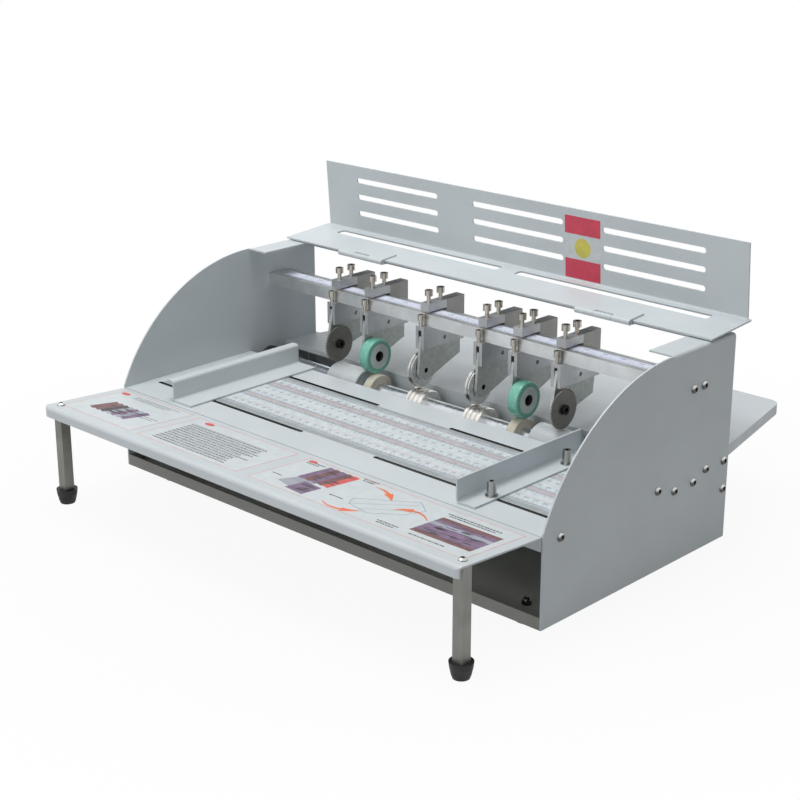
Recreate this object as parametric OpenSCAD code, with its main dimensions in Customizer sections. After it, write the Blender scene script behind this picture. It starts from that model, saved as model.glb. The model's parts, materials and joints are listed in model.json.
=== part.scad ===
// Desktop paper creasing machine: a sheet-steel frame with a feed table, six tool heads that
// slide on a bar over a driven shaft, two side guides, an outfeed tray and a hinged slotted cover.
// +X is the operator's right, +Y is the way the paper travels, +Z is up. The origin is the
// centre of the machine's box in plan, on the surface that it stands on. Millimetres, degrees.

/* [Frame] */
// Clear width between the side plates
inner_w = 520; // [510:1:560]
// Height of a side plate above the tool bar
head_room = 30; // [28:0.5:40]
// Height of a side plate's straight front edge above the feed table
plate_front_over = 2.4; // [1:0.2:6]
// Radius of the curved front edge of a side plate
plate_arc_r = 179; // [172:1:184]
// Width of the flange turned inwards along the top of a side plate
top_flange_w = 24; // [16:0.5:36]
// Thickness of the painted steel sheet
sheet_t = 1.5; // [1:0.1:1.8]
// Outer radius of the bends in the sheet
bend_r = 3; // [2.5:0.1:4]
// Height of the lip around the base pan
pan_lip_h = 10.7; // [8:0.1:14]
// Depth of the cross-member that carries the cover
cross_depth = 26; // [22:1:30]
// Height of the flange along the rear of the cross-member
cross_lip_h = 12; // [8:0.5:16]

/* [Feet and legs] */
// Height of the rubber feet under the base pan
foot_h = 12.5; // [10:0.5:18]
// Radius of a base foot where it meets the pan
foot_r = 11; // [9:0.5:14]
// Distance of a base foot from the side plate
foot_inset_x = 36; // [25:1:60]
// Distance of a base foot from the front or the rear edge of the pan
foot_inset_y = 28; // [20:1:45]
// Width of the square front legs
leg_w = 10; // [8:0.5:13]
// Distance of a leg's middle from the side edge of the front table
leg_inset_x = 9.4; // [8:0.1:20]
// Distance of a leg's middle from the front of the front table
leg_inset_y = 13.1; // [12:0.1:25]
// Height of the rubber cup on a leg
leg_cup_h = 14; // [10:0.5:20]

/* [Tables] */
// Height of the feed table above the underside of the base pan
table_h = 80; // [78:0.5:90]
// Depth of the feed table
feed_depth = 163; // [150:0.5:180]
// Reach of the front table ahead of the side plates
front_depth = 94.5; // [80:0.5:130]
// Rise of the front table from its rear edge to its front edge
front_rise = 6; // [2:0.5:10]
// Height of the lip along the front of the front table
front_lip_h = 10; // [7:0.5:16]
// Height of the side flanges of the tables
table_flange_h = 12; // [10:0.5:14]
// Width of a guide slot
slot_w = 4.4; // [3.4:0.1:4.6]
// Distance of the front guide slots from the feed table's front edge
slot_front_y = 34; // [28:0.5:45]
// Distance of the rear guide slots from the feed table's front edge
slot_rear_y = 132.5; // [120:0.5:140]
// Distance of the inner ends of the slots from the middle of the table
slot_inner_x = 45; // [30:1:60]
// Distance of the outer ends of the slots from the side plates
slot_end_gap = 10; // [8:1:16]

/* [Outfeed tray] */
// Gap from the shaft's axis back to the tray's front edge
tray_gap = 23.25; // [22:0.25:26]
// Length of the tray between the side plates
tray_inside = 44; // [42:0.5:60]
// Reach of the tray behind the side plates
tray_reach = 146; // [110:1:180]
// Depth of the deep part of the flange along the tray's front edge, behind the shaft
tray_flange_h = 24; // [14:0.5:30]
// Width of the tray at its rear end
tray_end_w = 451; // [400:1:470]
// Radius of the tray's rear corners
tray_corner_r = 12; // [6:1:25]
// Height of the lip around the tray
tray_lip_h = 10; // [6:0.5:15]

/* [Guides] */
// Reach of the side guides past the rear edge of the feed table
guide_over = 4.5; // [0:0.5:6]
// Height of a guide's wall
guide_h = 20.5; // [16:0.5:24]
// Width of the right guide's foot
right_foot_w = 20.5; // [19:0.5:24]
// Width of the left guide's foot
left_foot_w = 26; // [16:0.5:30]
// Width of the return along the top of the left guide
guide_return_w = 8; // [5:0.5:10]
// Place of the right guide's paper face, to the right of the middle
right_guide_x = 165.5; // [150:0.5:175]
// Place of the left guide's paper face, to the left of the middle
left_guide_x = 192.5; // [180:0.5:196]
// Radius of the shank of a guide screw
guide_screw_r = 1.5; // [1.2:0.1:1.5]
// Radius of the knurled head of a guide screw
guide_knob_r = 4; // [3:0.1:5]
// Height of the knurled head of a guide screw
guide_knob_h = 12; // [8:0.5:15]

/* [Cover] */
// Depth of the cover's panel
cover_depth = 61.5; // [55:0.5:66]
// Height of the cover's wall
cover_wall_h = 70; // [62:0.5:75]
// Rise of the open cover's panel towards the rear
cover_tilt = 4; // [3:0.1:6]
// Distance of the hinge pins ahead of the side plates' rear edges
hinge_inset = 40.6; // [38:0.1:44]
// Outer radius of a hinge knuckle
knuckle_r = 2.75; // [2.6:0.05:3]
// Radius of a hinge pin
hinge_pin_r = 0.9; // [0.6:0.05:1]
// Length of a hinge along its pin
hinge_w = 60; // [45:1:80]
// Distance of each hinge's middle from the middle of the cover
hinge_x = 150; // [110:1:190]
// Height of the cooling slots in the wall
vent_h = 5.6; // [3:0.2:7]
// Length of each slot in the wall
vent_w = 112; // [90:1:130]
// Distance between the middles of neighbouring slots in the wall
vent_pitch_x = 158; // [150:1:165]
// Distance between the rows of slots in the wall
vent_pitch_z = 17.4; // [12:0.2:20]
// Length of each slot in the panel
panel_vent_w = 218; // [180:1:225]
// Depth of each slot in the panel
panel_vent_d = 11; // [8:0.5:13]
// Gap between the two slots in the panel
panel_vent_gap = 22; // [10:1:40]

/* [Tool bar] */
// Depth of the tool bar
bar_depth = 26; // [24:0.5:27]
// Height of the tool bar
bar_h = 12; // [10:0.5:13]
// Distance of the bar's front face behind the shaft's axis
bar_back = 2.25; // [1.5:0.25:4]

/* [Tool heads] */
// Place of head 1, a cutting blade
head_1_x = -163; // [-175:1:-160]
// Place of head 2, a feed wheel
head_2_x = -117; // [-118:1:-112]
// Place of head 3, a creasing wheel
head_3_x = -42; // [-45:1:-40]
// Place of head 4, a creasing wheel
head_4_x = 31; // [29:1:32]
// Place of head 5, a feed wheel
head_5_x = 73; // [71:1:74]
// Place of head 6, a cutting blade
head_6_x = 123; // [121:1:126]
// Width of a head block
block_w = 10.5; // [9:0.5:12]
// Height of a head block below the bar
block_under_h = 22.5; // [20:0.5:24]
// Height of a head block's jaw above the bar
jaw_h = 8; // [7:0.5:10]
// Thickness of an arm plate
arm_t = 3; // [2.4:0.1:3.4]
// Distance between an arm's pivot and its wheel's axle
arm_len = 36.8; // [36.4:0.1:37.5]
// Radius of a pivot pin
pivot_r = 2; // [1.5:0.1:2.2]
// Radius of an axle
axle_r = 4; // [3:0.1:4.2]
// Radius of a cutting blade
blade_r = 18.7; // [18:0.1:19]
// Number of teeth on a cutting blade
blade_teeth = 40; // [24:1:60]
// Radius of a feed wheel over its soft tyre
tyre_r = 17.5; // [16.5:0.1:18]
// Width of a feed wheel
tyre_w = 12; // [10:0.5:13]
// Radius of a creasing wheel over its ridge
crease_r = 18; // [17:0.1:18.4]

/* [Drive] */
// Depth of the shaft's axis below the feed table
shaft_drop = 13; // [12.5:0.1:14]
// Gap from the rear edge of the feed table back to the shaft's axis
shaft_gap = 25.75; // [25:0.25:30]
// Radius of the drive shaft
shaft_r = 9; // [7:0.1:10]
// Radius of the shaft's ends in their bearings
journal_r = 6; // [4:0.1:6.5]
// Radius of the pale drums under the blades
drum_r = 18; // [17:0.1:18.5]
// Radius of the rings under the feed wheels
ring_r = 17; // [16:0.1:17.5]
// Width of the rings under the feed wheels
ring_w = 10; // [8:0.5:12]
// Radius of the grooved dies under the creasing wheels
die_r = 16.5; // [15.5:0.1:17]
// Width of a grooved die
die_w = 20; // [18:0.5:22]
// Distance between the two screws of a shaft bearing
bearing_pitch = 27.5; // [26:0.5:30]
// Radius of the belt pulley on the shaft
shaft_pulley_r = 11; // [10.2:0.2:12]
// Radius of the belt pulley on the motor
motor_pulley_r = 8; // [6:0.5:9]
// Radius of the motor
motor_r = 26; // [20:1:28]
// Length of the motor
motor_len = 84; // [70:1:100]
// Distance of the motor's axis behind the side plates' front edges
motor_y = 85; // [75:1:95]
// Height of the motor's axis above the underside of the base pan
motor_h = 38; // [36:1:40]

/* [Rear panel] */
// Distance of the power inlet from the middle of the rear panel
inlet_x = 205; // [190:1:225]
// Distance of the rocker switch from the middle of the rear panel
switch_x = 160; // [110:1:165]
// Height of the inlet and the switch above the underside of the base pan
inlet_h = 40; // [30:1:45]
// Swing of the rocker between off and on
rocker_swing = 16; // [10:1:18]

/* [Hidden] */

$fn = 64;
cut = 0.5;                              // how far a cutting tool runs past a face

// clearances
run_clear = 0.05;                       // radial, of a shaft that turns in its bore
seat_clear = 0.02;                      // radial, of a pin or screw that is fixed in its hole
bar_clear = 0.1;                        // between a head block and the underside of the bar
slide_clear = 0.3;                      // between other faces that slide or roll past each other
paper_gap = 0.3;                        // between a tool and the ring under it

// places along the way of the paper, from the side plates' front edges
shaft_y = feed_depth + shaft_gap;
bar_y = shaft_y + bar_back;
tray_front_y = shaft_y + tray_gap;
plate_depth = tray_front_y + tray_inside;
hinge_y = plate_depth - hinge_inset;
pivot_back = 24;                        // of an arm's pivot behind the bar's front face
pivot_y = bar_y + pivot_back;

// levels above the floor: a feed wheel stands over its ring, and its arm carries the level up
// to the pivot, the bar and the top of the side plates
pan_z = foot_h;
pan_floor_z = pan_z + sheet_t;
table_z = pan_z + table_h;
shaft_z = table_z - shaft_drop;
arm_lean = 36.7;                        // lean of an arm, from upright, as it is drawn
feed_axle_y = pivot_y - arm_len * sin(arm_lean);
feed_axle_z = shaft_z
    + sqrt(pow(tyre_r + ring_r + paper_gap, 2) - pow(feed_axle_y - shaft_y, 2));
pivot_z = feed_axle_z + arm_len * cos(arm_lean);
pivot_drop = 15.5;                      // of an arm's pivot below the bar
bar_z = pivot_z + pivot_drop;
bar_top_z = bar_z + bar_h;
plate_top_z = bar_top_z + head_room;
plate_h = plate_top_z - pan_z;
plate_front_h = table_h + plate_front_over;
cross_z = plate_top_z - sheet_t;        // top of the cross-member, under the plates' flanges

half_w = inner_w / 2;
cross_half_w = half_w - bend_r + sheet_t;   // clears the bends under the plates' flanges
arc_y = sqrt(pow(plate_arc_r, 2) - pow(plate_front_h - plate_h + plate_arc_r, 2));
flange_y = arc_y + 1.5;                 // front end of the plates' top flanges
flange_root = bend_r + 1;

// front table: a sloped sheet with a rolled front edge
front_slope = atan(front_rise / front_depth);
front_bend_r = bend_r + 1;
front_run = (front_depth - front_bend_r * (1 + sin(front_slope))) / cos(front_slope);
front_corner_r = 5;
leg_y = leg_inset_y - front_depth;
leg_x = half_w - leg_inset_x;
leg_top_z = table_z + (-leg_y - leg_w / 2) * tan(front_slope) - sheet_t / cos(front_slope);
cup_floor = 4;                          // thickness of a leg cup's bottom
leg_bolt_len = 16;
foot_bolt_r = 2.5;
foot_bolt_up = 7;                       // how far a foot's bolt stands above the pan
foot_nut_h = 4;

// outfeed tray
tray_rear_y = plate_depth + tray_reach;
tray_step_y = plate_depth + 1;          // where the tray becomes narrower, behind the plates
tray_step = 5;
origin_y = (tray_rear_y - front_depth) / 2;

// frame screws
screw_r = 2;
screw_head_r = 3.8;
screw_head_h = 2.2;
screw_len = 8.5;
flange_screw_z = table_z - 6;
feed_screw_ys = [21.4, feed_depth - 12];
tray_screw_ys = [tray_front_y + 9, plate_depth - 7.5];
panel_flange_w = 12;
panel_screw_y = plate_depth - 6.6;
panel_screw_h = 47.5;                   // above the underside of the base pan
panel_screw_z = pan_z + panel_screw_h;
bar_screw_half = 7.5;
joint_screw_x = 150;                    // of the screws that join the two tables

// tool bar
bar_mid_y = bar_y + bar_depth / 2;
scale_w = 14;                           // recess for the scale along the top of the bar
scale_t = 0.4;

// drive shaft and belt
bearing_t = 10;
bearing_flange_t = 4;
bearing_boss_r = 13;
bearing_ys = [shaft_y - bearing_pitch / 2, shaft_y + bearing_pitch / 2];
left_drum_w = 41;
right_drum_w = 40;
left_drum_x = head_1_x + 5;             // left faces of the drums
right_drum_x = head_6_x - right_drum_w / 2;
drum_shows = 3;                         // of the left drum, beside the tray's deep flange
pulley_x = 20 - half_w;                 // left face of the belt pulleys
pulley_w = 10;
pulley_rim_t = 1;
belt_w = 7;
belt_t = 1.5;

// motor
motor_z = pan_z + motor_h;
bracket_t = 2.5;
bracket_x = pulley_x + pulley_w + 8;    // left face of the bracket
bracket_half_w = 30;
bracket_foot = 20;
motor_x = bracket_x + bracket_t;
motor_shaft_r = 4;
motor_boss_r = 7;
gearbox_len = 24;

// tool heads
head_x = [head_1_x, head_2_x, head_3_x, head_4_x, head_5_x, head_6_x];
head_kind = ["blade", "feed", "crease", "crease", "feed", "blade"];
arm_end_r = 10;
arm_top = 5.5;                          // height of an arm above its pivot
arm_drop = 15;                          // depth of an arm's rear corner below its block
block_nose = 5.5;                       // reach of a block ahead of the bar
block_tail = 26;                        // reach of a block behind the bar
block_front_y = bar_y - block_nose;
block_rear_y = bar_y + bar_depth + block_tail;
block_z = bar_z - block_under_h;
jaw_z = bar_top_z + 1.5;
jaw_top_z = jaw_z + jaw_h;
jaw_front_y = bar_y + 1;
arm_slot_w = arm_t + 2 * slide_clear;
arm_slot_z = pivot_z + arm_top + 6;     // top of the slot that the arm swings in
clamp_ys = [bar_y + 7, bar_y + bar_depth - 2.6];
clamp_r = 2;
clamp_up = 6.5;                         // how far the clamp screws stand out of the jaw
clamp_head_r = 3.9;
clamp_head_h = 5.5;
adjust_y = bar_y - 3.7;
adjust_up = 5.5;
adjust_head_r = 3.4;
adjust_head_h = 6;
pin_recess = 1.5;                       // of a pivot pin's ends in the faces of its block

// tools, measured outwards from the middle of the arm
tool_x = arm_t / 2 + 0.5;
blade_t = 1.6;
blade_x = block_w / 2 + slide_clear;    // a lifted blade passes beside its block
notch_side = 4.1 * blade_r / blade_teeth;   // of the square cutter that parts two teeth
collar_r = 9;
axle_head_r = 4.7;
axle_head_h = 2.6;
hub_r = 12.5;                           // core of a feed wheel
tyre_round = 2;
counterbore_r = 5.3;
counterbore_h = 6;
crease_w = 5;
crease_rim_drop = 0.8;                  // of a creasing wheel's rims below its ridge
groove_pitch = 5.5;
groove_w = 2;
groove_d = 1.2;
edge = 0.6;                             // bevel on the edges of turned parts

// cover and hinges, measured from the hinge pin
leaf_t = sheet_t + 0.1;                 // the closed cover clears the plates by the difference
leaf_depth = 28;                        // of a fixed leaf, behind the pin
cover_leaf_depth = 20;                  // of a moving leaf
hinge_z = cross_z + knuckle_r;
cover_gap = knuckle_r + 0.25;
panel_z = knuckle_r - leaf_t - sheet_t; // underside of the open cover's panel
cover_half_w = half_w + sheet_t;
wall_half_w = half_w - 2;
knuckle_gap = 0.15;
panel_vent_y = 45.6;
wall_vent_z = 20.2;
rivet_r = 2.4;
rivet_shank_r = 1.4;
rivet_y = 22;
rivet_h = panel_z / cos(cover_tilt) + (rivet_y - rivet_r) * tan(cover_tilt)
    + knuckle_r - leaf_t - run_clear;

// guides
guide_y = 6;
guide_z = table_z + slide_clear;
guide_end_y = feed_depth + guide_over;
right_screw_x = right_guide_x + 14;
left_screw_x = -left_guide_x - sheet_t - 12;
lug_w = 22;
lug_half = 10;
washer_r = 5.5;
washer_t = 1;
nut_r = 4.5;
nut_h = 3.5;

// rear panel fittings: width, depth and height of the bodies behind the panel
inlet_z = pan_z + inlet_h;
inlet_body = [27, 19, 20];
switch_body = [13, 16, 19.5];
bezel_t = 2;
bezel_rim = 2;
inlet_well = [21, 14, 14];
rocker_w = 8.6;
rocker_half_h = 6.4;
rocker_pin_r = 1;
rocker_y = plate_depth - 1;

// where an axle stands: a circle about the pivot meets a circle about the shaft
function tool_radius(i) = head_kind[i] == "blade" ? blade_r
    : head_kind[i] == "feed" ? tyre_r : crease_r;
function lower_radius(i) = head_kind[i] == "blade" ? drum_r
    : head_kind[i] == "feed" ? ring_r : die_r;
function circles_meet(reach, dy, dz) =
    let (span = norm([dy, dz]),
         along = (reach * reach - arm_len * arm_len + span * span) / (2 * span),
         aside = sqrt(reach * reach - along * along))
    [shaft_y + (along * dy - aside * dz) / span, shaft_z + (along * dz + aside * dy) / span];
function axle_at(i) =
    circles_meet(tool_radius(i) + lower_radius(i) + paper_gap,
        pivot_y - shaft_y, pivot_z - shaft_z);

// turn of an arm away from the lean that it is drawn at
function arm_turn(i) =
    atan2(axle_at(i)[1] - pivot_z, axle_at(i)[0] - pivot_y) + 90 + arm_lean;

// middles of the base feet
foot_places = [for (side = [-1, 1], y = [foot_inset_y, plate_depth - foot_inset_y])
    [side * (half_w - foot_inset_x), y]];

// screws that pass through a side plate from outside: places in Y and Z
plate_screws = concat(
    [for (y = feed_screw_ys) [y, flange_screw_z]],
    [for (y = bearing_ys) [y, shaft_z]],
    [for (y = tray_screw_ys) [y, flange_screw_z]],
    [[panel_screw_y, panel_screw_z]],
    [for (side = [-1, 1]) [bar_mid_y + side * bar_screw_half, bar_z + bar_h / 2]]);

// ---- helpers ----

module placed() translate([0, -origin_y, 0]) children();

// a box from its lowest corner to its highest
module box(low, high) translate(low) cube(high - low);

// a round bar along X
module rod(x0, x1, r) translate([x0, 0, 0]) rotate([0, 90, 0]) cylinder(h = x1 - x0, r = r);

// an outline in Y and Z, given a length along X
module along_x(x0, x1) translate([x0, 0, 0]) rotate([90, 0, 90]) linear_extrude(x1 - x0) children();

// an outline in X and Z, given a length along Y
module along_y(y0, y1) translate([0, y1, 0]) rotate([90, 0, 0]) linear_extrude(y1 - y0) children();

// a half profile of radius against length, turned about an axis along X
module turned(x0) translate([x0, 0, 0]) rotate([90, 0, 90]) rotate_extrude() children();

// the right side as drawn, or the left side as its mirror image
module on_side(side) mirror([side < 0 ? 1 : 0, 0, 0]) children();

module on_both_sides() for (side = [-1, 1]) on_side(side) children();

// section of a sheet bent to a right angle, legs a along x and b along y from the corner
module bent(a, b, r = bend_r) {
    translate([r, 0]) square([a - r, sheet_t]);
    translate([0, r]) square([sheet_t, b - r]);
    intersection() {
        translate([r, r]) difference() {
            circle(r);
            circle(r - sheet_t);
        }
        square(r);
    }
}

// a slot with rounded ends, along X, cut through a sheet that lies at z = 0
module slot_cut(x0, x1, w, r) translate([0, 0, -sheet_t - cut]) linear_extrude(2 * (sheet_t + cut)) {
    translate([x0 + r, -w / 2]) square([x1 - x0 - 2 * r, w]);
    if (w > 2 * r) translate([x0, r - w / 2]) square([x1 - x0, w - 2 * r]);
    for (x = [x0 + r, x1 - r], y = [r - w / 2, w / 2 - r]) translate([x, y]) circle(r);
}

// a socket-head screw along Z, with the underside of its head at the origin
module socket_screw(shank_r, shank_len, head_r, head_h) {
    difference() {
        cylinder(h = head_h, r = head_r);
        translate([0, 0, head_h * 0.45]) cylinder(h = head_h, r = head_r * 0.55, $fn = 6);
    }
    translate([0, 0, -shank_len]) cylinder(h = shank_len, r = shank_r);
}

// a frame screw along Z with a low rounded head, its underside at the origin
module button_screw(shank_len) {
    difference() {
        rotate_extrude() polygon([[0, 0], [screw_head_r, 0], [screw_head_r, screw_head_h * 0.25],
            [screw_head_r * 0.88, screw_head_h * 0.65], [screw_head_r * 0.65, screw_head_h],
            [0, screw_head_h]]);
        translate([0, 0, screw_head_h * 0.4])
            cylinder(h = screw_head_h, r = screw_head_r * 0.5, $fn = 6);
    }
    translate([0, 0, -shank_len]) cylinder(h = shank_len, r = screw_r);
}

// the holes for the screws in both side plates
module plate_screw_holes() on_both_sides() for (p = plate_screws)
    translate([0, p[0], p[1]])
        rod(half_w - screw_len - cut, half_w + sheet_t + cut, screw_r + seat_clear);

// half profile of a turned ring with bevelled edges: inner and outer radius, width
module ring_profile(r0, r1, w)
    polygon([[r0, 0], [r1 - edge, 0], [r1, edge], [r1, w - edge], [r1 - edge, w], [r0, w]]);

// ---- frame ----

module base_pan() color("silver") placed() difference() {
    union() {
        box([-half_w, 0, pan_z], [half_w, plate_depth, pan_floor_z]);
        box([-half_w, 0, pan_z], [half_w, sheet_t, pan_z + pan_lip_h]);
        on_both_sides() box([half_w - sheet_t, 0, pan_z],
            [half_w, plate_depth - 2 * panel_flange_w, pan_z + pan_lip_h]);
    }
    for (p = foot_places) translate([p[0], p[1], pan_z - cut])
        cylinder(h = sheet_t + 2 * cut, r = foot_bolt_r + seat_clear);
}

// a square plate whose upper front corner is a large arc
module plate_outline() intersection() {
    square([plate_depth, plate_h]);
    union() {
        translate([arc_y, 0]) square([plate_depth - arc_y, plate_h]);
        translate([arc_y, plate_h - plate_arc_r]) circle(plate_arc_r, $fn = 180);
        square([arc_y, plate_h - plate_arc_r]);
    }
}

module side_plate(side) color("gainsboro") placed() on_side(side) difference() {
    union() {
        difference() {
            along_x(half_w, half_w + sheet_t) translate([0, pan_z]) plate_outline();
            box([half_w - cut, flange_y, plate_top_z - flange_root],
                [half_w + sheet_t + cut, plate_depth + cut, plate_top_z + cut]);
        }
        along_y(flange_y, plate_depth) translate([half_w + sheet_t, plate_top_z])
            rotate(180) bent(top_flange_w + sheet_t, flange_root);
    }
    plate_screw_holes();
}

module left_side_plate() side_plate(-1);

module right_side_plate() side_plate(1);

// places on the cross-member where the fixed hinge leaves are riveted
module at_rivets() translate([0, hinge_y + rivet_y, cross_z])
    for (x = [-hinge_x, hinge_x], side = [-1, 1])
        translate([x + side * hinge_w / 3, 0, 0]) children();

module top_crossmember() color("gainsboro") placed() difference() {
    along_x(-cross_half_w, cross_half_w) translate([plate_depth, cross_z])
        rotate(180) bent(cross_depth, cross_lip_h);
    at_rivets() translate([0, 0, -sheet_t - cut])
        cylinder(h = sheet_t + 2 * cut, r = rivet_shank_r + seat_clear);
}

// the opening in the rear panel for a fitting's body
module panel_opening(x, body) translate([x, 0, inlet_z])
    box([-body[0] / 2 - seat_clear, plate_depth - sheet_t - cut, -body[2] / 2 - seat_clear],
        [body[0] / 2 + seat_clear, plate_depth + cut, body[2] / 2 + seat_clear]);

module rear_panel() color("gainsboro") placed() difference() {
    union() {
        box([-half_w, plate_depth - sheet_t, pan_floor_z], [half_w, plate_depth, table_z - sheet_t]);
        on_both_sides() box([half_w - sheet_t, plate_depth - panel_flange_w, pan_floor_z],
            [half_w, plate_depth, table_z - sheet_t - table_flange_h - 2]);
    }
    plate_screw_holes();
    panel_opening(-inlet_x, inlet_body);
    panel_opening(-switch_x, switch_body);
}

// the screws that join the rear flange of the front table to the feed table
module at_joint_screws() for (x = [-joint_screw_x, joint_screw_x])
    translate([x, -sheet_t, flange_screw_z]) rotate([90, 0, 0]) children();

module joint_holes() at_joint_screws() translate([0, 0, -screw_len - cut])
    cylinder(h = screw_len + 2 * cut, r = screw_r + seat_clear);

module feed_table() color("gainsboro") placed() difference() {
    union() {
        box([-half_w, 0, table_z - sheet_t], [half_w, feed_depth, table_z]);
        box([-half_w, 0, table_z - table_flange_h], [half_w, sheet_t, table_z]);
        box([-half_w, feed_depth - sheet_t, table_z - 5], [half_w, feed_depth, table_z]);
        on_both_sides() box([half_w - sheet_t, 0, table_z - table_flange_h],
            [half_w, feed_depth, table_z]);
    }
    on_both_sides() for (y = [slot_front_y, slot_rear_y])
        translate([0, y, table_z]) slot_cut(slot_inner_x, half_w - slot_end_gap, slot_w, slot_w / 2);
    plate_screw_holes();
    joint_holes();
}

// section of the front table in Y and Z: rear flange, sloped sheet, rolled edge and lip
module front_section() {
    slope_dir = [-cos(front_slope), sin(front_slope)];
    bend_mid = front_run * slope_dir - front_bend_r * [sin(front_slope), cos(front_slope)];
    far = 2 * front_bend_r;
    translate([-sheet_t, -table_flange_h]) square([sheet_t, table_flange_h - sheet_t / 2]);
    rotate(-front_slope) translate([-front_run, -sheet_t]) square([front_run, sheet_t]);
    translate(bend_mid) {
        intersection() {
            difference() {
                circle(front_bend_r);
                circle(front_bend_r - sheet_t);
            }
            polygon([[0, 0], [-far, 0], [-far, far],
                far * [sin(front_slope), cos(front_slope)]]);
        }
        translate([-front_bend_r, front_bend_r - front_lip_h])
            square([sheet_t, front_lip_h - front_bend_r]);
    }
}

module at_leg_bolts() on_both_sides()
    translate([leg_x, leg_y, table_z - leg_y * tan(front_slope)])
        rotate([-front_slope, 0, 0]) children();

module leg_bolt_holes() at_leg_bolts() translate([0, 0, -leg_bolt_len - cut])
    cylinder(h = leg_bolt_len + 2 * cut, r = screw_r + seat_clear);

module front_table() color("gainsboro") placed() difference() {
    intersection() {
        along_x(-half_w, half_w) translate([0, table_z]) front_section();
        translate([0, 0, table_z - 2 * table_flange_h]) linear_extrude(4 * table_flange_h) {
            translate([-half_w, front_corner_r - front_depth])
                square([inner_w, front_depth]);
            translate([front_corner_r - half_w, -front_depth])
                square([inner_w - 2 * front_corner_r, front_depth]);
            for (x = [front_corner_r - half_w, half_w - front_corner_r])
                translate([x, front_corner_r - front_depth]) circle(front_corner_r, $fn = 12);
        }
    }
    leg_bolt_holes();
    joint_holes();
}

module front_legs() color("gray") placed() difference() {
    on_both_sides() box([leg_x - leg_w / 2, leg_y - leg_w / 2, cup_floor],
        [leg_x + leg_w / 2, leg_y + leg_w / 2, leg_top_z]);
    leg_bolt_holes();
}

module leg_cups() color("black") placed() on_both_sides() translate([leg_x, leg_y, 0])
    difference() {
        rotate_extrude() polygon([[0, 0], [leg_w * 0.7, 0], [leg_w * 0.8, leg_cup_h * 0.2],
            [leg_w * 0.95, leg_cup_h * 0.7], [leg_w, leg_cup_h], [0, leg_cup_h]]);
        box([-leg_w / 2, -leg_w / 2, cup_floor], [leg_w / 2, leg_w / 2, leg_cup_h + cut]);
    }

module base_feet() color("black") placed() for (p = foot_places) translate([p[0], p[1], 0])
    difference() {
        cylinder(h = foot_h, r1 = foot_r * 0.85, r2 = foot_r);
        translate([0, 0, foot_h / 3]) cylinder(h = foot_h, r = foot_bolt_r + seat_clear);
    }

module foot_bolts() for (p = foot_places) translate([p[0], p[1], 0]) {
    translate([0, 0, foot_h / 3])
        cylinder(h = pan_floor_z + foot_bolt_up - foot_h / 3, r = foot_bolt_r);
    translate([0, 0, pan_floor_z]) difference() {
        cylinder(h = foot_nut_h, r = foot_bolt_r * 1.8, $fn = 6);
        translate([0, 0, -cut]) cylinder(h = foot_nut_h + 2 * cut, r = foot_bolt_r + seat_clear);
    }
}

module frame_screws() color("silver") placed() {
    on_both_sides() for (p = plate_screws) translate([half_w + sheet_t, p[0], p[1]])
        rotate([0, 90, 0]) button_screw(screw_len);
    at_joint_screws() button_screw(screw_len);
    at_leg_bolts() button_screw(leg_bolt_len);
    foot_bolts();
    at_rivets() {
        translate([0, 0, leaf_t]) cylinder(h = rivet_h, r = rivet_r);
        translate([0, 0, -sheet_t - 1]) cylinder(h = sheet_t + 1 + leaf_t, r = rivet_shank_r);
    }
}

module tool_bar() color("darkgray") placed() difference() {
    box([-half_w, bar_y, bar_z], [half_w, bar_y + bar_depth, bar_top_z]);
    box([-half_w + scale_w, bar_mid_y - scale_w / 2, bar_top_z - scale_t],
        [half_w - scale_w, bar_mid_y + scale_w / 2, bar_top_z + cut]);
    plate_screw_holes();
}

// ---- outfeed tray ----

// outline of the tray behind the side plates, drawn in by a margin
module tray_outline(margin) {
    step_x = half_w - tray_step - margin;
    corner_x = tray_end_w / 2 - tray_corner_r;
    corner_y = tray_rear_y - tray_corner_r;
    hull() {
        translate([-step_x, tray_step_y]) square([2 * step_x, 1]);
        for (x = [-corner_x, corner_x]) translate([x, corner_y])
            circle(tray_corner_r - margin);
    }
}

module outfeed_tray() color("gainsboro") placed() difference() {
    union() {
        box([-half_w, tray_front_y, table_z - sheet_t], [half_w, tray_step_y, table_z]);
        translate([0, 0, table_z - sheet_t]) linear_extrude(sheet_t) tray_outline(0);
        translate([0, 0, table_z - tray_lip_h]) linear_extrude(tray_lip_h) difference() {
            tray_outline(0);
            translate([0, -sheet_t]) tray_outline(sheet_t);
        }
        box([-half_w, tray_front_y, table_z - 5], [half_w, tray_front_y + sheet_t, table_z]);
        box([left_drum_x + drum_shows, tray_front_y, table_z - tray_flange_h],
            [half_w, tray_front_y + sheet_t, table_z]);
        on_both_sides() box([half_w - sheet_t, tray_front_y, table_z - table_flange_h],
            [half_w, plate_depth - sheet_t, table_z]);
    }
    plate_screw_holes();
}

// ---- cover and hinges ----

// the frame of a piece that is drawn about the hinge pin with the cover flat
module at_hinge(tilt) placed() translate([0, hinge_y, hinge_z]) rotate([tilt, 0, 0]) children();

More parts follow.
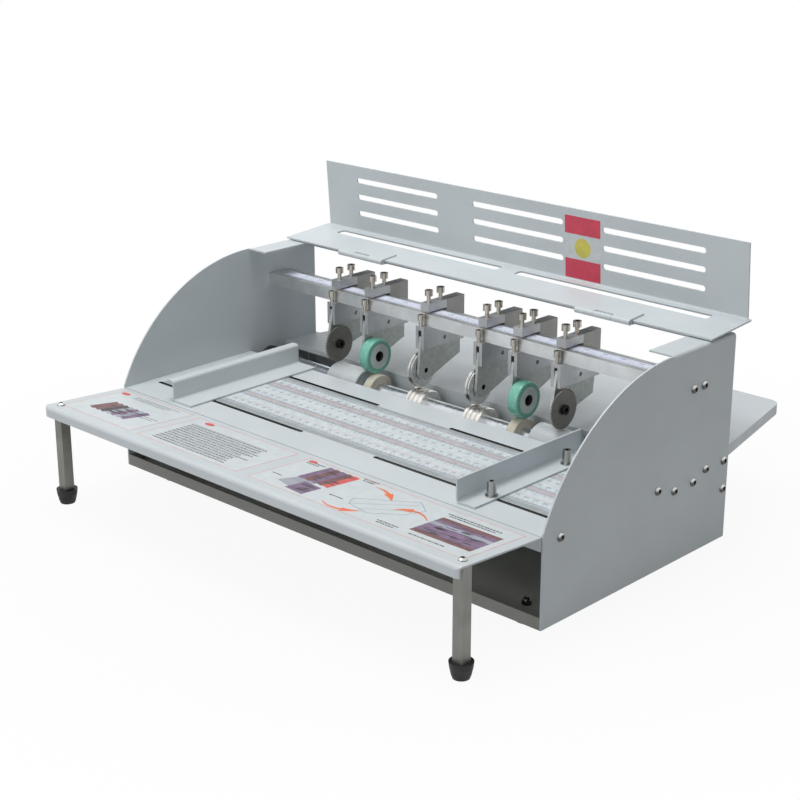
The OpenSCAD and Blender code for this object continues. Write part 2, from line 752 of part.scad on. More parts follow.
module cover() color("gainsboro") at_hinge(cover_tilt) difference() {
    along_x(-cover_half_w, cover_half_w) translate([cover_gap + cover_depth, panel_z])
        mirror([1, 0]) bent(cover_depth, cover_wall_h);
    on_both_sides() {
        box([wall_half_w, 0, panel_z + sheet_t],
            [cover_half_w + cut, cover_gap + cover_depth + cut, cover_wall_h]);
        translate([0, cover_gap + panel_vent_y, panel_z + sheet_t])
            slot_cut(panel_vent_gap / 2, panel_vent_gap / 2 + panel_vent_w, panel_vent_d, vent_h / 2);
    }
    for (column = [-1:1], row = [0:2])
        translate([column * vent_pitch_x, cover_gap + cover_depth,
                panel_z + wall_vent_z + row * vent_pitch_z])
            rotate([90, 0, 0]) slot_cut(-vent_w / 2, vent_w / 2, vent_h, vent_h / 2);
}

// a hinge leaf with its knuckles: ends of the knuckles along the pin, and the leaf's height
module hinge_leaf(knuckles, leaf_z, depth) difference() {
    union() {
        box([-hinge_w / 2, cover_gap + knuckle_gap, leaf_z], [hinge_w / 2, depth, leaf_z + leaf_t]);
        for (k = knuckles) {
            rod(k[0], k[1], knuckle_r);
            box([k[0], 0, leaf_z], [k[1], depth, leaf_z + leaf_t]);
        }
    }
    rod(-hinge_w / 2 - cut, hinge_w / 2 + cut, hinge_pin_r + run_clear);
}

module hinge_fixed_leaves() color("silver") difference() {
    at_hinge(0) for (x = [-hinge_x, hinge_x]) translate([x, 0, 0])
        hinge_leaf([[-hinge_w / 6 + knuckle_gap, hinge_w / 6 - knuckle_gap]],
            -knuckle_r, leaf_depth);
    placed() at_rivets() translate([0, 0, -cut])
        cylinder(h = leaf_t + 2 * cut, r = rivet_shank_r + seat_clear);
}

module hinge_moving_leaves() color("silver") at_hinge(cover_tilt)
    for (x = [-hinge_x, hinge_x]) translate([x, 0, 0])
        hinge_leaf([[-hinge_w / 2, -hinge_w / 6 - knuckle_gap],
            [hinge_w / 6 + knuckle_gap, hinge_w / 2]], knuckle_r - leaf_t, cover_leaf_depth);

module hinge_pins() color("silver") at_hinge(0) for (x = [-hinge_x, hinge_x])
    rod(x - hinge_w / 2, x + hinge_w / 2, hinge_pin_r);

// ---- side guides ----

module at_guide_screws(x) for (y = [slot_front_y, slot_rear_y])
    translate([x, y, guide_z + sheet_t]) children();

module guide_holes(x) at_guide_screws(x) translate([0, 0, -sheet_t - cut])
    cylinder(h = sheet_t + 2 * cut, r = guide_screw_r + seat_clear);

module left_guide() color("gainsboro") placed() difference() {
    union() {
        along_y(guide_y, guide_end_y) {
            translate([-left_guide_x - sheet_t, guide_z])
                bent(left_foot_w, guide_h - flange_root);
            translate([-left_guide_x, guide_z + guide_h])
                rotate(180) bent(guide_return_w, flange_root);
        }
        for (y = [slot_front_y, slot_rear_y])
            box([-left_guide_x - lug_w, y - lug_half, guide_z],
                [bend_r - left_guide_x - sheet_t, y + lug_half, guide_z + sheet_t]);
    }
    guide_holes(left_screw_x);
}

module right_guide() color("gainsboro") placed() difference() {
    along_y(guide_y, guide_end_y) translate([right_guide_x, guide_z])
        bent(right_foot_w, guide_h);
    guide_holes(right_screw_x);
}

// knurled screw, washer and the nut under the table at each slot
module guide_screws(x) color("darkkhaki") placed() at_guide_screws(x) {
    nut_top = -2 * sheet_t - 2 * slide_clear;
    difference() {
        cylinder(h = washer_t, r = washer_r);
        translate([0, 0, -cut]) cylinder(h = washer_t + 2 * cut, r = guide_screw_r + seat_clear);
    }
    translate([0, 0, washer_t]) socket_screw(guide_screw_r,
        washer_t - nut_top + nut_h, guide_knob_r, guide_knob_h);
    translate([0, 0, nut_top - nut_h]) difference() {
        cylinder(h = nut_h, r = nut_r, $fn = 6);
        translate([0, 0, -cut]) cylinder(h = nut_h + 2 * cut, r = guide_screw_r + seat_clear);
    }
}

module left_guide_screws() guide_screws(left_screw_x);

module right_guide_screws() guide_screws(right_screw_x);

// ---- drive ----

module at_shaft() placed() translate([0, shaft_y, shaft_z]) children();

module drive_shaft() color("lightsteelblue") at_shaft() {
    rod(bearing_t - half_w, half_w - bearing_t, shaft_r);
    rod(seat_clear - half_w, half_w - seat_clear, journal_r);
}

module anvil_drums() color("lightgray") at_shaft() {
    turned(left_drum_x) ring_profile(shaft_r, drum_r, left_drum_w);
    turned(right_drum_x) ring_profile(shaft_r, drum_r, right_drum_w);
}

// ring 5 stands under its wheel; ring 2 shows half its width beside its own
module feed_rings() color("lightsteelblue") at_shaft() {
    turned(head_2_x + tool_x + tyre_w - ring_w / 2 + 1) ring_profile(shaft_r, ring_r, ring_w);
    turned(head_5_x + tool_x + (tyre_w - ring_w) / 2) ring_profile(shaft_r, ring_r, ring_w);
}

// the creasing wheel runs over the leftmost of a die's three grooves
module creasing_dies() color("lightsteelblue") at_shaft() for (i = [2, 3]) {
    first_groove = (die_w - 2 * groove_pitch) / 2;
    turned(head_x[i] - tool_x - crease_w / 2 - first_groove) difference() {
        ring_profile(shaft_r, die_r, die_w);
        for (n = [0:2]) translate([die_r - groove_d, first_groove + n * groove_pitch - groove_w / 2])
            square([groove_d + cut, groove_w]);
    }
}

module shaft_bearings() color("dimgray") difference() {
    at_shaft() on_both_sides() {
        translate([half_w - bearing_flange_t, 0, 0]) rotate([0, 90, 0]) hull() {
            cylinder(h = bearing_flange_t, r = bearing_boss_r, $fn = 32);
            for (side = [-1, 1]) translate([0, side * bearing_pitch / 2, 0])
                cylinder(h = bearing_flange_t, r = screw_r + 4, $fn = 32);
        }
        rod(half_w - bearing_t, half_w, bearing_boss_r - 2);
    }
    at_shaft() rod(-half_w - cut, half_w + cut, journal_r + run_clear);
    placed() plate_screw_holes();
}

// a flanged pulley for the flat belt
module pulley(r, bore_r) turned(pulley_x) difference() {
    translate([bore_r, 0]) square([r + slide_clear + belt_t + 0.5 - bore_r, pulley_w]);
    translate([r, pulley_rim_t]) square([r, pulley_w - 2 * pulley_rim_t]);
}

module shaft_pulley() color("darkgray") at_shaft() pulley(shaft_pulley_r, shaft_r);

module at_motor() placed() translate([0, motor_y, motor_z]) children();

module motor_pulley() color("darkgray") at_motor() {
    pulley(motor_pulley_r, motor_shaft_r);
    rod(pulley_x - 1, motor_x + gearbox_len / 2, motor_shaft_r);
}

module motor() color("dimgray") at_motor() difference() {
    union() {
        rod(bracket_x - 1, motor_x, motor_boss_r);
        rod(motor_x, motor_x + gearbox_len, motor_r);
        rod(motor_x + gearbox_len, motor_x + motor_len, motor_r - 2);
    }
    rod(bracket_x - 2, motor_x + gearbox_len / 2 + cut, motor_shaft_r + run_clear);
}

module motor_bracket() color("silver") difference() {
    placed() {
        box([bracket_x, motor_y - bracket_half_w, pan_floor_z],
            [motor_x, motor_y + bracket_half_w, motor_z + motor_boss_r + 10]);
        box([bracket_x, motor_y - bracket_half_w, pan_floor_z],
            [motor_x + bracket_foot, motor_y + bracket_half_w, pan_floor_z + bracket_t]);
    }
    at_motor() rod(bracket_x - cut, motor_x + cut, motor_boss_r + seat_clear);
}

// outline of the belt in Y and Z, at a height above the pulleys' rims
module belt_outline(height) hull() {
    translate([shaft_y, shaft_z]) circle(shaft_pulley_r + height);
    translate([motor_y, motor_z]) circle(motor_pulley_r + height);
}

module drive_belt() color("black") placed() {
    belt_x = pulley_x + (pulley_w - belt_w) / 2;
    along_x(belt_x, belt_x + belt_w) difference() {
        belt_outline(slide_clear + belt_t);
        belt_outline(slide_clear);
    }
}

// ---- rear panel fittings ----

// a fitting's body behind the panel and its bezel in front
module panel_fitting(x, body) translate([x, 0, inlet_z]) {
    box([-body[0] / 2, plate_depth - body[1], -body[2] / 2],
        [body[0] / 2, plate_depth, body[2] / 2]);
    box([-body[0] / 2 - bezel_rim, plate_depth, -body[2] / 2 - bezel_rim],
        [body[0] / 2 + bezel_rim, plate_depth + bezel_t, body[2] / 2 + bezel_rim]);
}

module power_inlet() color("black") placed() {
    difference() {
        panel_fitting(-inlet_x, inlet_body);
        translate([-inlet_x, plate_depth + bezel_t - inlet_well[1], inlet_z])
            box([-inlet_well[0] / 2, 0, -inlet_well[2] / 2],
                [inlet_well[0] / 2, inlet_well[1] + cut, inlet_well[2] / 2]);
    }
    for (p = [[-7, -1], [0, 2], [7, -1]])
        translate([p[0] - inlet_x, plate_depth + bezel_t - inlet_well[1], inlet_z + p[1]])
            box([-1, 0, -2.5], [1, inlet_well[1] - 3, 2.5]);
}

module at_rocker() placed() translate([-switch_x, rocker_y, inlet_z]) children();

module switch_housing() color("black") difference() {
    placed() panel_fitting(-switch_x, switch_body);
    at_rocker() {
        box([-rocker_w / 2 - slide_clear, -6, -rocker_half_h - 0.9],
            [rocker_w / 2 + slide_clear, 8, rocker_half_h + 0.9]);
        rod(-switch_body[0] / 2 + 0.5, switch_body[0] / 2 - 0.5, rocker_pin_r + run_clear);
    }
}

module switch_rocker() color("black") at_rocker() rotate([rocker_swing / 2, 0, 0]) {
    along_x(-rocker_w / 2, rocker_w / 2) polygon([[-3, -rocker_half_h], [3.4, -rocker_half_h],
        [2, 0], [3.4, rocker_half_h], [-3, rocker_half_h]]);
    rod(-switch_body[0] / 2 + 1, switch_body[0] / 2 - 1, rocker_pin_r);
}

// ---- tool heads ----

module at_head(i) placed() translate([head_x[i], 0, 0]) children();

// side view of a block: it stands behind the bar, with a jaw above and a foot below
module block_outline() polygon([
    [block_front_y, block_z], [block_rear_y, block_z], [block_rear_y, jaw_top_z],
    [jaw_front_y, jaw_top_z], [jaw_front_y, jaw_z], [bar_y + bar_depth + slide_clear, jaw_z],
    [bar_y + bar_depth + slide_clear, bar_z - bar_clear], [block_front_y, bar_z - bar_clear]]);

module head_block(i) color("darkgray") at_head(i) difference() {
    along_x(-block_w / 2, block_w / 2) block_outline();
    box([-arm_slot_w / 2, block_front_y - cut, block_z - cut],
        [arm_slot_w / 2, block_rear_y + cut, arm_slot_z]);
    translate([0, pivot_y, pivot_z]) rod(-block_w, block_w, pivot_r + seat_clear);
    for (y = clamp_ys) translate([0, y, jaw_z - cut])
        cylinder(h = jaw_h + 2 * cut, r = clamp_r + seat_clear);
    translate([0, adjust_y, arm_slot_z - cut])
        cylinder(h = bar_z - arm_slot_z + 2 * cut, r = clamp_r + seat_clear);
}

// two clamp screws, the adjusting screw and the pivot pin
module head_screws(i) color("silver") at_head(i) {
    for (y = clamp_ys) translate([0, y, jaw_top_z + clamp_up])
        socket_screw(clamp_r, jaw_top_z + clamp_up - bar_top_z - bar_clear, clamp_head_r, clamp_head_h);
    translate([0, adjust_y, bar_z + adjust_up])
        socket_screw(clamp_r, bar_z + adjust_up - arm_slot_z, adjust_head_r, adjust_head_h);
    translate([0, pivot_y, pivot_z])
        rod(pin_recess - block_w / 2, block_w / 2 - pin_recess, pivot_r);
}

// side view of an arm about its pivot, leaning forward to its axle
module arm_outline() {
    axle = arm_len * [-sin(arm_lean), -cos(arm_lean)];
    front = block_front_y + 0.5 - pivot_y;
    rear = block_rear_y - 1.5 - pivot_y;
    corner = [rear, block_z - arm_drop - pivot_z];
    reach = norm(corner - axle);
    bearing = atan2(corner[1] - axle[1], corner[0] - axle[0]);
    tangent = bearing - acos(arm_end_r / reach);
    translate(axle) circle(arm_end_r);
    polygon([[front, arm_top], [rear, arm_top], corner,
        axle + arm_end_r * [cos(tangent), sin(tangent)], axle, axle - [arm_end_r, 0]]);
}

// in the frame of an arm's axle, with X pointing from the arm to its wheel
module at_axle(i) at_head(i) translate([0, axle_at(i)[0], axle_at(i)[1]])
    mirror([head_kind[i] == "crease" ? 1 : 0, 0, 0]) children();

// where an axle's head stands, outside its wheel
function axle_head_x(i) = run_clear + (head_kind[i] == "blade" ? blade_x + blade_t
    : head_kind[i] == "feed" ? tool_x + tyre_w - counterbore_h : tool_x + crease_w);

module arm_axle(i) {
    difference() {
        union() {
            rod(-arm_t / 2, axle_head_x(i), axle_r);
            rod(axle_head_x(i), axle_head_x(i) + axle_head_h, axle_head_r);
        }
        translate([axle_head_x(i) + axle_head_h / 3, 0, 0]) rotate([0, 90, 0])
            cylinder(h = axle_head_h, r = axle_head_r * 0.55, $fn = 6);
        rod(-arm_t / 2 - cut, 0, axle_r * 0.6);
    }
}

// the arm plate and, as a separate solid, the axle fixed in it
module head_arm(i) color("silver") {
    difference() {
        at_head(i) translate([0, pivot_y, pivot_z]) rotate([arm_turn(i), 0, 0]) difference() {
            along_x(-arm_t / 2, arm_t / 2) arm_outline();
            rod(-arm_t, arm_t, pivot_r + run_clear);
        }
        at_axle(i) rod(-arm_t, arm_t, axle_r + seat_clear);
    }
    at_axle(i) arm_axle(i);
}

module cutting_blade(i) color("dimgray") at_axle(i) difference() {
    union() {
        rod(tool_x, blade_x, collar_r);
        rod(blade_x, blade_x + blade_t, blade_r);
    }
    rod(0, 2 * blade_x, axle_r + run_clear);
    for (n = [1:blade_teeth]) rotate([n * 360 / blade_teeth, 0, 0])
        translate([blade_x - cut, blade_r, 0]) rotate([45, 0, 0])
            translate([0, -notch_side / 2, -notch_side / 2])
                cube([blade_t + 2 * cut, notch_side, notch_side]);
}

module feed_wheel(i) color("whitesmoke") at_axle(i) difference() {
    rod(tool_x, tool_x + tyre_w, hub_r);
    rod(0, 2 * tyre_w, axle_r + run_clear);
    rod(tool_x + tyre_w - counterbore_h, 2 * tyre_w, counterbore_r);
}

module feed_tyre(i) color("mediumseagreen") at_axle(i) turned(tool_x) {
    translate([hub_r, 0]) square([tyre_r - tyre_round - hub_r, tyre_w]);
    translate([hub_r, tyre_round]) square([tyre_r - hub_r, tyre_w - 2 * tyre_round]);
    for (y = [tyre_round, tyre_w - tyre_round])
        translate([tyre_r - tyre_round, y]) circle(tyre_round);
}

module creasing_wheel(i) color("silver") at_axle(i) turned(tool_x) difference() {
    ring_profile(axle_r + run_clear, crease_r, crease_w);
    for (side = [0, 1]) translate([crease_r - crease_rim_drop, side * (crease_w * 0.6 + cut) - cut])
        square([crease_r, crease_w * 0.4 + cut]);
    for (y = [crease_w * 0.3, crease_w * 0.7])
        translate([crease_r - 2, y - 0.3]) square([crease_r, 0.6]);
}

// ---- nodes ----

base_pan();
left_side_plate();
right_side_plate();
top_crossmember();
rear_panel();
feed_table();
front_table();
front_legs();
leg_cups();
base_feet();
frame_screws();
outfeed_tray();
tool_bar();
cover();
hinge_fixed_leaves();
hinge_moving_leaves();
hinge_pins();
left_guide();
right_guide();
left_guide_screws();
right_guide_screws();
drive_shaft();
anvil_drums();
feed_rings();
creasing_dies();
shaft_bearings();
shaft_pulley();
motor();
motor_bracket();
motor_pulley();
drive_belt();
power_inlet();
switch_housing();
switch_rocker();
head_block(0);  // head_block_1
head_screws(0);  // head_screws_1
head_arm(0);  // head_arm_1
cutting_blade(0);  // cutting_blade_1
head_block(1);  // head_block_2
head_screws(1);  // head_screws_2
head_arm(1);  // head_arm_2
feed_wheel(1);  // feed_wheel_2
feed_tyre(1);  // feed_tyre_2
head_block(2);  // head_block_3
head_screws(2);  // head_screws_3
head_arm(2);  // head_arm_3
creasing_wheel(2);  // creasing_wheel_3
head_block(3);  // head_block_4
head_screws(3);  // head_screws_4
head_arm(3);  // head_arm_4
creasing_wheel(3);  // creasing_wheel_4
head_block(4);  // head_block_5
head_screws(4);  // head_screws_5
head_arm(4);  // head_arm_5
feed_wheel(4);  // feed_wheel_5
feed_tyre(4);  // feed_tyre_5
head_block(5);  // head_block_6
head_screws(5);  // head_screws_6
head_arm(5);  // head_arm_6
cutting_blade(5);  // cutting_blade_6
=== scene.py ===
"""Looks for a desktop paper creasing machine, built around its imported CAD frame."""

import json
import math

import bpy
import numpy as np
from mathutils import Matrix, Vector


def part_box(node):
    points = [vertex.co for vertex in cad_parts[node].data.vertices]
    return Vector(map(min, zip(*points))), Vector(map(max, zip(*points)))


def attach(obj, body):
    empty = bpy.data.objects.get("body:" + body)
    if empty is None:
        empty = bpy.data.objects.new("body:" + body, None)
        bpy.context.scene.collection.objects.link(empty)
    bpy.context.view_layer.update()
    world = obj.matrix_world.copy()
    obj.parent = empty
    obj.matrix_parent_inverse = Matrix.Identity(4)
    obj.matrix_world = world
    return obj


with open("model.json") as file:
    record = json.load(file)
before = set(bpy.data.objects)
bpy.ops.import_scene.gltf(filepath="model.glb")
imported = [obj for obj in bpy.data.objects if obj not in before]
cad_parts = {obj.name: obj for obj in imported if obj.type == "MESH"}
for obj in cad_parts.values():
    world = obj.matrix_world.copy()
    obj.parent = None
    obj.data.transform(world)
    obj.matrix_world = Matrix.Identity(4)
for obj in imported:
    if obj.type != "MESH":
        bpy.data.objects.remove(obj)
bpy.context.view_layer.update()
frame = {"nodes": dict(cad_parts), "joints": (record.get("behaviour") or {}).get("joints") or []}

bl_info = {
    "name": "Creasing Machine Looks",
    "version": (1, 0, 0),
    "blender": (4, 5, 0),
    "location": "View3D > Sidebar > Creaser",
    "description": "Finishes, printed scales and stage of a desktop creasing machine",
    "category": "Object",
}

MM = 0.001
SHEET_METAL = ("left_side_plate", "right_side_plate", "top_crossmember", "rear_panel",
               "outfeed_tray", "cover", "left_guide", "right_guide", "hinge_fixed_leaves",
               "hinge_moving_leaves")
HEADS = range(1, 7)
BLADE_HEADS, FEED_HEADS, CREASE_HEADS = (1, 6), (2, 5), (3, 4)


# ---- places in the frame ---------------------------------------------------

TABLE_LOW, TABLE_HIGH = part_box("feed_table")
BAR_LOW, BAR_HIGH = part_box("tool_bar")


def middle_of(node):
    low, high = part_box(node)
    return tuple((low + high) / 2)


def joint_place(name):
    return tuple(next(j for j in frame["joints"] if j["name"] == name)["pos_m"])


def table_place():
    """From the middle of the feed table's front edge, on its top."""
    return Matrix.Translation((0, TABLE_LOW.y, TABLE_HIGH.z))


# ---- materials -------------------------------------------------------------

SEAM_HALF = 0.3 * MM                  # half the width of the painted shadow line at the joint between the tables
# the slot walls between these bounds carry painted shade
SLOTS_AFTER_FRONT = 20 * MM           # the slots begin this far behind the front edge
SLOTS_BEFORE_REAR = 10 * MM           # and end this far before the rear edge
SLOTS_INSIDE_END = 5 * MM             # and before either end
SLOT_WALL_UP = 0.5                    # a wall faces up by less than this
# the head blocks turn darker behind the bar and above its underside, by these margins
DARKER_BEHIND_BAR, DARKER_UNDER_BAR = 0.5 * MM, 1.2 * MM
HUB_BORE = 5.32 * MM                  # radius of the dark bore of a feed wheel
CREASE_AXLE, WIDE_AXLE = 2.45 * MM, 4.9 * MM   # radii of the dark axle ends in the arms
TURNING_RINGS = 9000.0                # radians a metre: one turned ring in 0.7 mm
NEAR_BLACK = (0.012, 0.012, 0.013)


def add_node(tree, kind, inputs=None, **settings):
    """A node with its settings; an input is linked to a socket or set to a value."""
    node = tree.nodes.new(kind)
    for key, value in settings.items():
        setattr(node, key, value)
    for key, value in (inputs or {}).items():
        if isinstance(value, bpy.types.NodeSocket):
            tree.links.new(value, node.inputs[key])
        else:
            node.inputs[key].default_value = value
    return node


class Finish:
    """A Principled material whose colour, roughness and bump come from nodes."""

    def __init__(self, name, **sockets):
        self.material = bpy.data.materials.new(name)
        self.material.use_nodes = True
        self.tree = self.material.node_tree
        self.shader = self.tree.nodes["Principled BSDF"]
        self.coords = self.add("ShaderNodeTexCoord").outputs["Object"]
        for key, value in sockets.items():
            self.shader.inputs[key.replace("_", " ")].default_value = value

    def add(self, kind, inputs=None, **settings):
        return add_node(self.tree, kind, inputs, **settings)

    def link(self, value, key):
        self.tree.links.new(value, self.shader.inputs[key])

    def placed(self, centre=(0, 0, 0), stretch=(1, 1, 1)):
        """Object coordinates moved to a centre, then stretched along each axis."""
        moved = self.add("ShaderNodeVectorMath", {0: self.coords, 1: centre},
                         operation="SUBTRACT").outputs[0]
        return self.add("ShaderNodeVectorMath", {0: moved, 1: stretch},
                        operation="MULTIPLY").outputs[0]

    def noise(self, scale, detail, coords=None):
        """Soft noise; the scale counts its features in a metre."""
        return self.add("ShaderNodeTexNoise", {"Vector": coords or self.coords, "Scale": scale,
                                               "Detail": detail}).outputs["Fac"]

    def spread(self, value, low, high, start=0.3, end=0.7):
        """Maps start..end of a value onto low..high."""
        return self.add("ShaderNodeMapRange", {"Value": value, "From Min": start,
                        "From Max": end, "To Min": low, "To Max": high}).outputs["Result"]

    def two_colours(self, value, first, second, start=0.35, end=0.65):
        """The first colour up to start, the second from end on, and a blend between."""
        ramp = self.add("ShaderNodeValToRGB", {"Fac": value})
        for stop, place, colour in zip(ramp.color_ramp.elements, (start, end), (first, second)):
            stop.position = place
            stop.color = (*colour, 1)
        return ramp.outputs["Color"]

    def math(self, operation, first, second=0.0):
        return self.add("ShaderNodeMath", {0: first, 1: second},
                        operation=operation).outputs[0]

    def axis(self, letter):
        """One of the object coordinates."""
        return self.add("ShaderNodeSeparateXYZ", {0: self.coords}).outputs[letter]

    def upward(self):
        """How far the surface faces up: one on a level top, nought on a wall."""
        normal = self.add("ShaderNodeNewGeometry").outputs["Normal"]
        return self.add("ShaderNodeSeparateXYZ", {0: normal}).outputs["Z"]

    def near_axis(self, centre, radius):
        """One within a radius of an axis along X through a centre, else nought."""
        return self.math("LESS_THAN", self.from_axis(centre), radius)

    def from_axis(self, centre):
        """Distance from an axis along X through a centre."""
        return self.add("ShaderNodeVectorMath", {0: self.placed(centre, (0, 1, 1))},
                        operation="LENGTH").outputs["Value"]

    def darkened(self, colour, share, tone=NEAR_BLACK):
        """A colour that gives way to a dark tone where the share is one."""
        return self.add("ShaderNodeMix", {0: share, 6: colour, 7: (*tone, 1)},
                        data_type="RGBA").outputs[2]

    def bump(self, height, distance, strength):
        node = self.add("ShaderNodeBump", {"Height": height, "Distance": distance,
                                           "Strength": strength})
        self.link(node.outputs["Normal"], "Normal")


def shade(colour, factor):
    return tuple(min(1.0, c * factor) for c in colour)


def powder_coat(name, colour, dark=None):
    """Powder coat: fine orange peel about 1.5 mm across, faint mottle and dust."""
    f = Finish(name, Metallic=0.0, Coat_Weight=0.12, Coat_Roughness=0.35)
    coat = f.two_colours(f.noise(9, 4), shade(colour, 0.955), shade(colour, 1.02))
    # the dark share paints shade: the coat gives way to near black where it is one
    f.link(f.darkened(coat, dark(f)) if dark else coat, "Base Color")
    f.link(f.spread(f.noise(60, 3), 0.36, 0.50), "Roughness")
    f.bump(f.noise(650, 2), 0.00006, 0.35)
    return f.material


def in_the_seam(f):
    """Painted shadow line: one close to the joint of the two tables, where no light gets in."""
    off = f.math("ABSOLUTE", f.math("SUBTRACT", f.axis("Y"), TABLE_LOW.y))
    return f.math("LESS_THAN", off, SEAM_HALF)


def in_a_slot(f):
    """Painted shade: one on the upright walls of the slots, which lie in shadow; or in the seam.
    """
    upright = f.math("LESS_THAN", f.math("ABSOLUTE", f.upward()), SLOT_WALL_UP)
    behind_front = f.math("GREATER_THAN", f.axis("Y"), TABLE_LOW.y + SLOTS_AFTER_FRONT)
    before_rear = f.math("LESS_THAN", f.axis("Y"), TABLE_HIGH.y - SLOTS_BEFORE_REAR)
    inside = f.math("LESS_THAN", f.math("ABSOLUTE", f.axis("X")),
                    TABLE_HIGH.x - SLOTS_INSIDE_END)
    wall = f.math("MINIMUM", f.math("MINIMUM", upright, inside),
                  f.math("MINIMUM", behind_front, before_rear))
    return f.math("MAXIMUM", wall, in_the_seam(f))


def brushed(name, colour, stretch, rough, metallic=1.0):
    """Brushed metal: noise drawn out along the brushing direction."""
    f = Finish(name, Metallic=metallic)
    lines = f.noise(900, 2, f.placed(stretch=stretch))
    f.link(f.two_colours(f.noise(35, 3), shade(colour, 0.86), shade(colour, 1.08)),
           "Base Color")
    f.link(f.spread(lines, *rough), "Roughness")
    f.bump(lines, 0.00003, 0.4)
    return f.material


def zinc_plate(name, colour, axle=None, dark_radius=0.0, metallic=0.85):
    """Zinc-plated sheet: blotchy crystals a few millimetres across, dark round an axle."""
    f = Finish(name, Metallic=metallic)
    cells = f.add("ShaderNodeTexVoronoi", {"Vector": f.coords, "Scale": 330.0}).outputs["Color"]
    grey = f.add("ShaderNodeRGBToBW", {"Color": cells}).outputs["Val"]
    blend = f.math("ADD", grey, f.noise(140, 4))
    pale = (colour[0] * 1.1, colour[1] * 1.09, colour[2] * 1.04)
    zinc = f.two_colours(f.math("MULTIPLY", blend, 0.5), shade(colour, 0.8), pale, 0.3, 0.7)
    if axle:
        zinc = f.darkened(zinc, f.near_axis(axle, dark_radius))
    f.link(zinc, "Base Color")
    f.link(f.spread(blend, 0.42, 0.58, 0.6, 1.4), "Roughness")
    f.bump(f.noise(420, 3), 0.00004, 0.3)
    return f.material


def machined_block(name, colour):
    """Machined aluminium, brushed along Y; behind the bar, above its underside, it is darker."""
    f = Finish(name, Metallic=0.9)
    lines = f.noise(900, 2, f.placed(stretch=(1, 0.12, 1)))
    face = f.two_colours(f.noise(35, 3), shade(colour, 0.86), shade(colour, 1.08))
    behind = f.math("GREATER_THAN", f.axis("Y"), BAR_HIGH.y + DARKER_BEHIND_BAR)
    above = f.math("GREATER_THAN", f.axis("Z"), BAR_LOW.z - DARKER_UNDER_BAR)
    darker_share = f.math("MULTIPLY", f.math("MINIMUM", behind, above), 0.6)
    f.link(f.darkened(face, darker_share, (0.14, 0.128, 0.11)), "Base Color")
    f.link(f.spread(lines, 0.36, 0.5), "Roughness")
    f.bump(lines, 0.00003, 0.4)
    return f.material


def turned_metal(name, colour, centre, rough, metallic=1.0):
    """Turned metal: the sine of the distance to an axis along X gives fine rings."""
    f = Finish(name, Metallic=metallic)
    rings = f.math("SINE", f.math("MULTIPLY", f.from_axis(centre), TURNING_RINGS))
    f.link(f.two_colours(f.noise(60, 3), shade(colour, 0.9), shade(colour, 1.06)), "Base Color")
    f.link(f.spread(f.noise(240, 3), *rough), "Roughness")
    f.bump(rings, 0.00001, 0.5)
    return f.material


def polished(name, colour):
    """Bright plate with painted reflection: pale where it faces the light above, dark where it
    faces the room.
    """
    f = Finish(name, Metallic=1.0)
    # painted highlight on faces that look up, painted dark reflection on the rest
    f.link(f.two_colours(f.spread(f.upward(), 0, 1, 0.05, 0.55), shade(colour, 0.14), colour,
                         0, 1), "Base Color")
    f.link(f.spread(f.noise(300, 2), 0.12, 0.24), "Roughness")
    f.bump(f.noise(500, 2), 0.00001, 0.3)
    return f.material


def moulded(name, colour, rough, grain=900, depth=0.00005, bore=None, **sockets):
    """Moulded rubber or plastic: even colour with a fine spark texture, dark in its bore."""
    f = Finish(name, **sockets)
    body = f.two_colours(f.noise(40, 3), shade(colour, 0.85), shade(colour, 1.12))
    if bore:
        body = f.darkened(body, f.near_axis(bore, HUB_BORE), (0.06, 0.052, 0.05))
    f.link(body, "Base Color")
    f.link(f.spread(f.noise(180, 2), *rough), "Roughness")
    f.bump(f.noise(grain, 2), depth, 0.5)
    return f.material


def printed(name, colour, fade=0.9):
    """Ink or film on a sheet: a little uneven, as screen printing is."""
    f = Finish(name)
    f.link(f.two_colours(f.noise(120, 4), shade(colour, fade), shade(colour, 1.04)),
           "Base Color")
    f.link(f.spread(f.noise(80, 2), 0.38, 0.52), "Roughness")
    f.bump(f.noise(700, 2), 0.00002, 0.3)
    return f.material


# ---- surfaces --------------------------------------------------------------

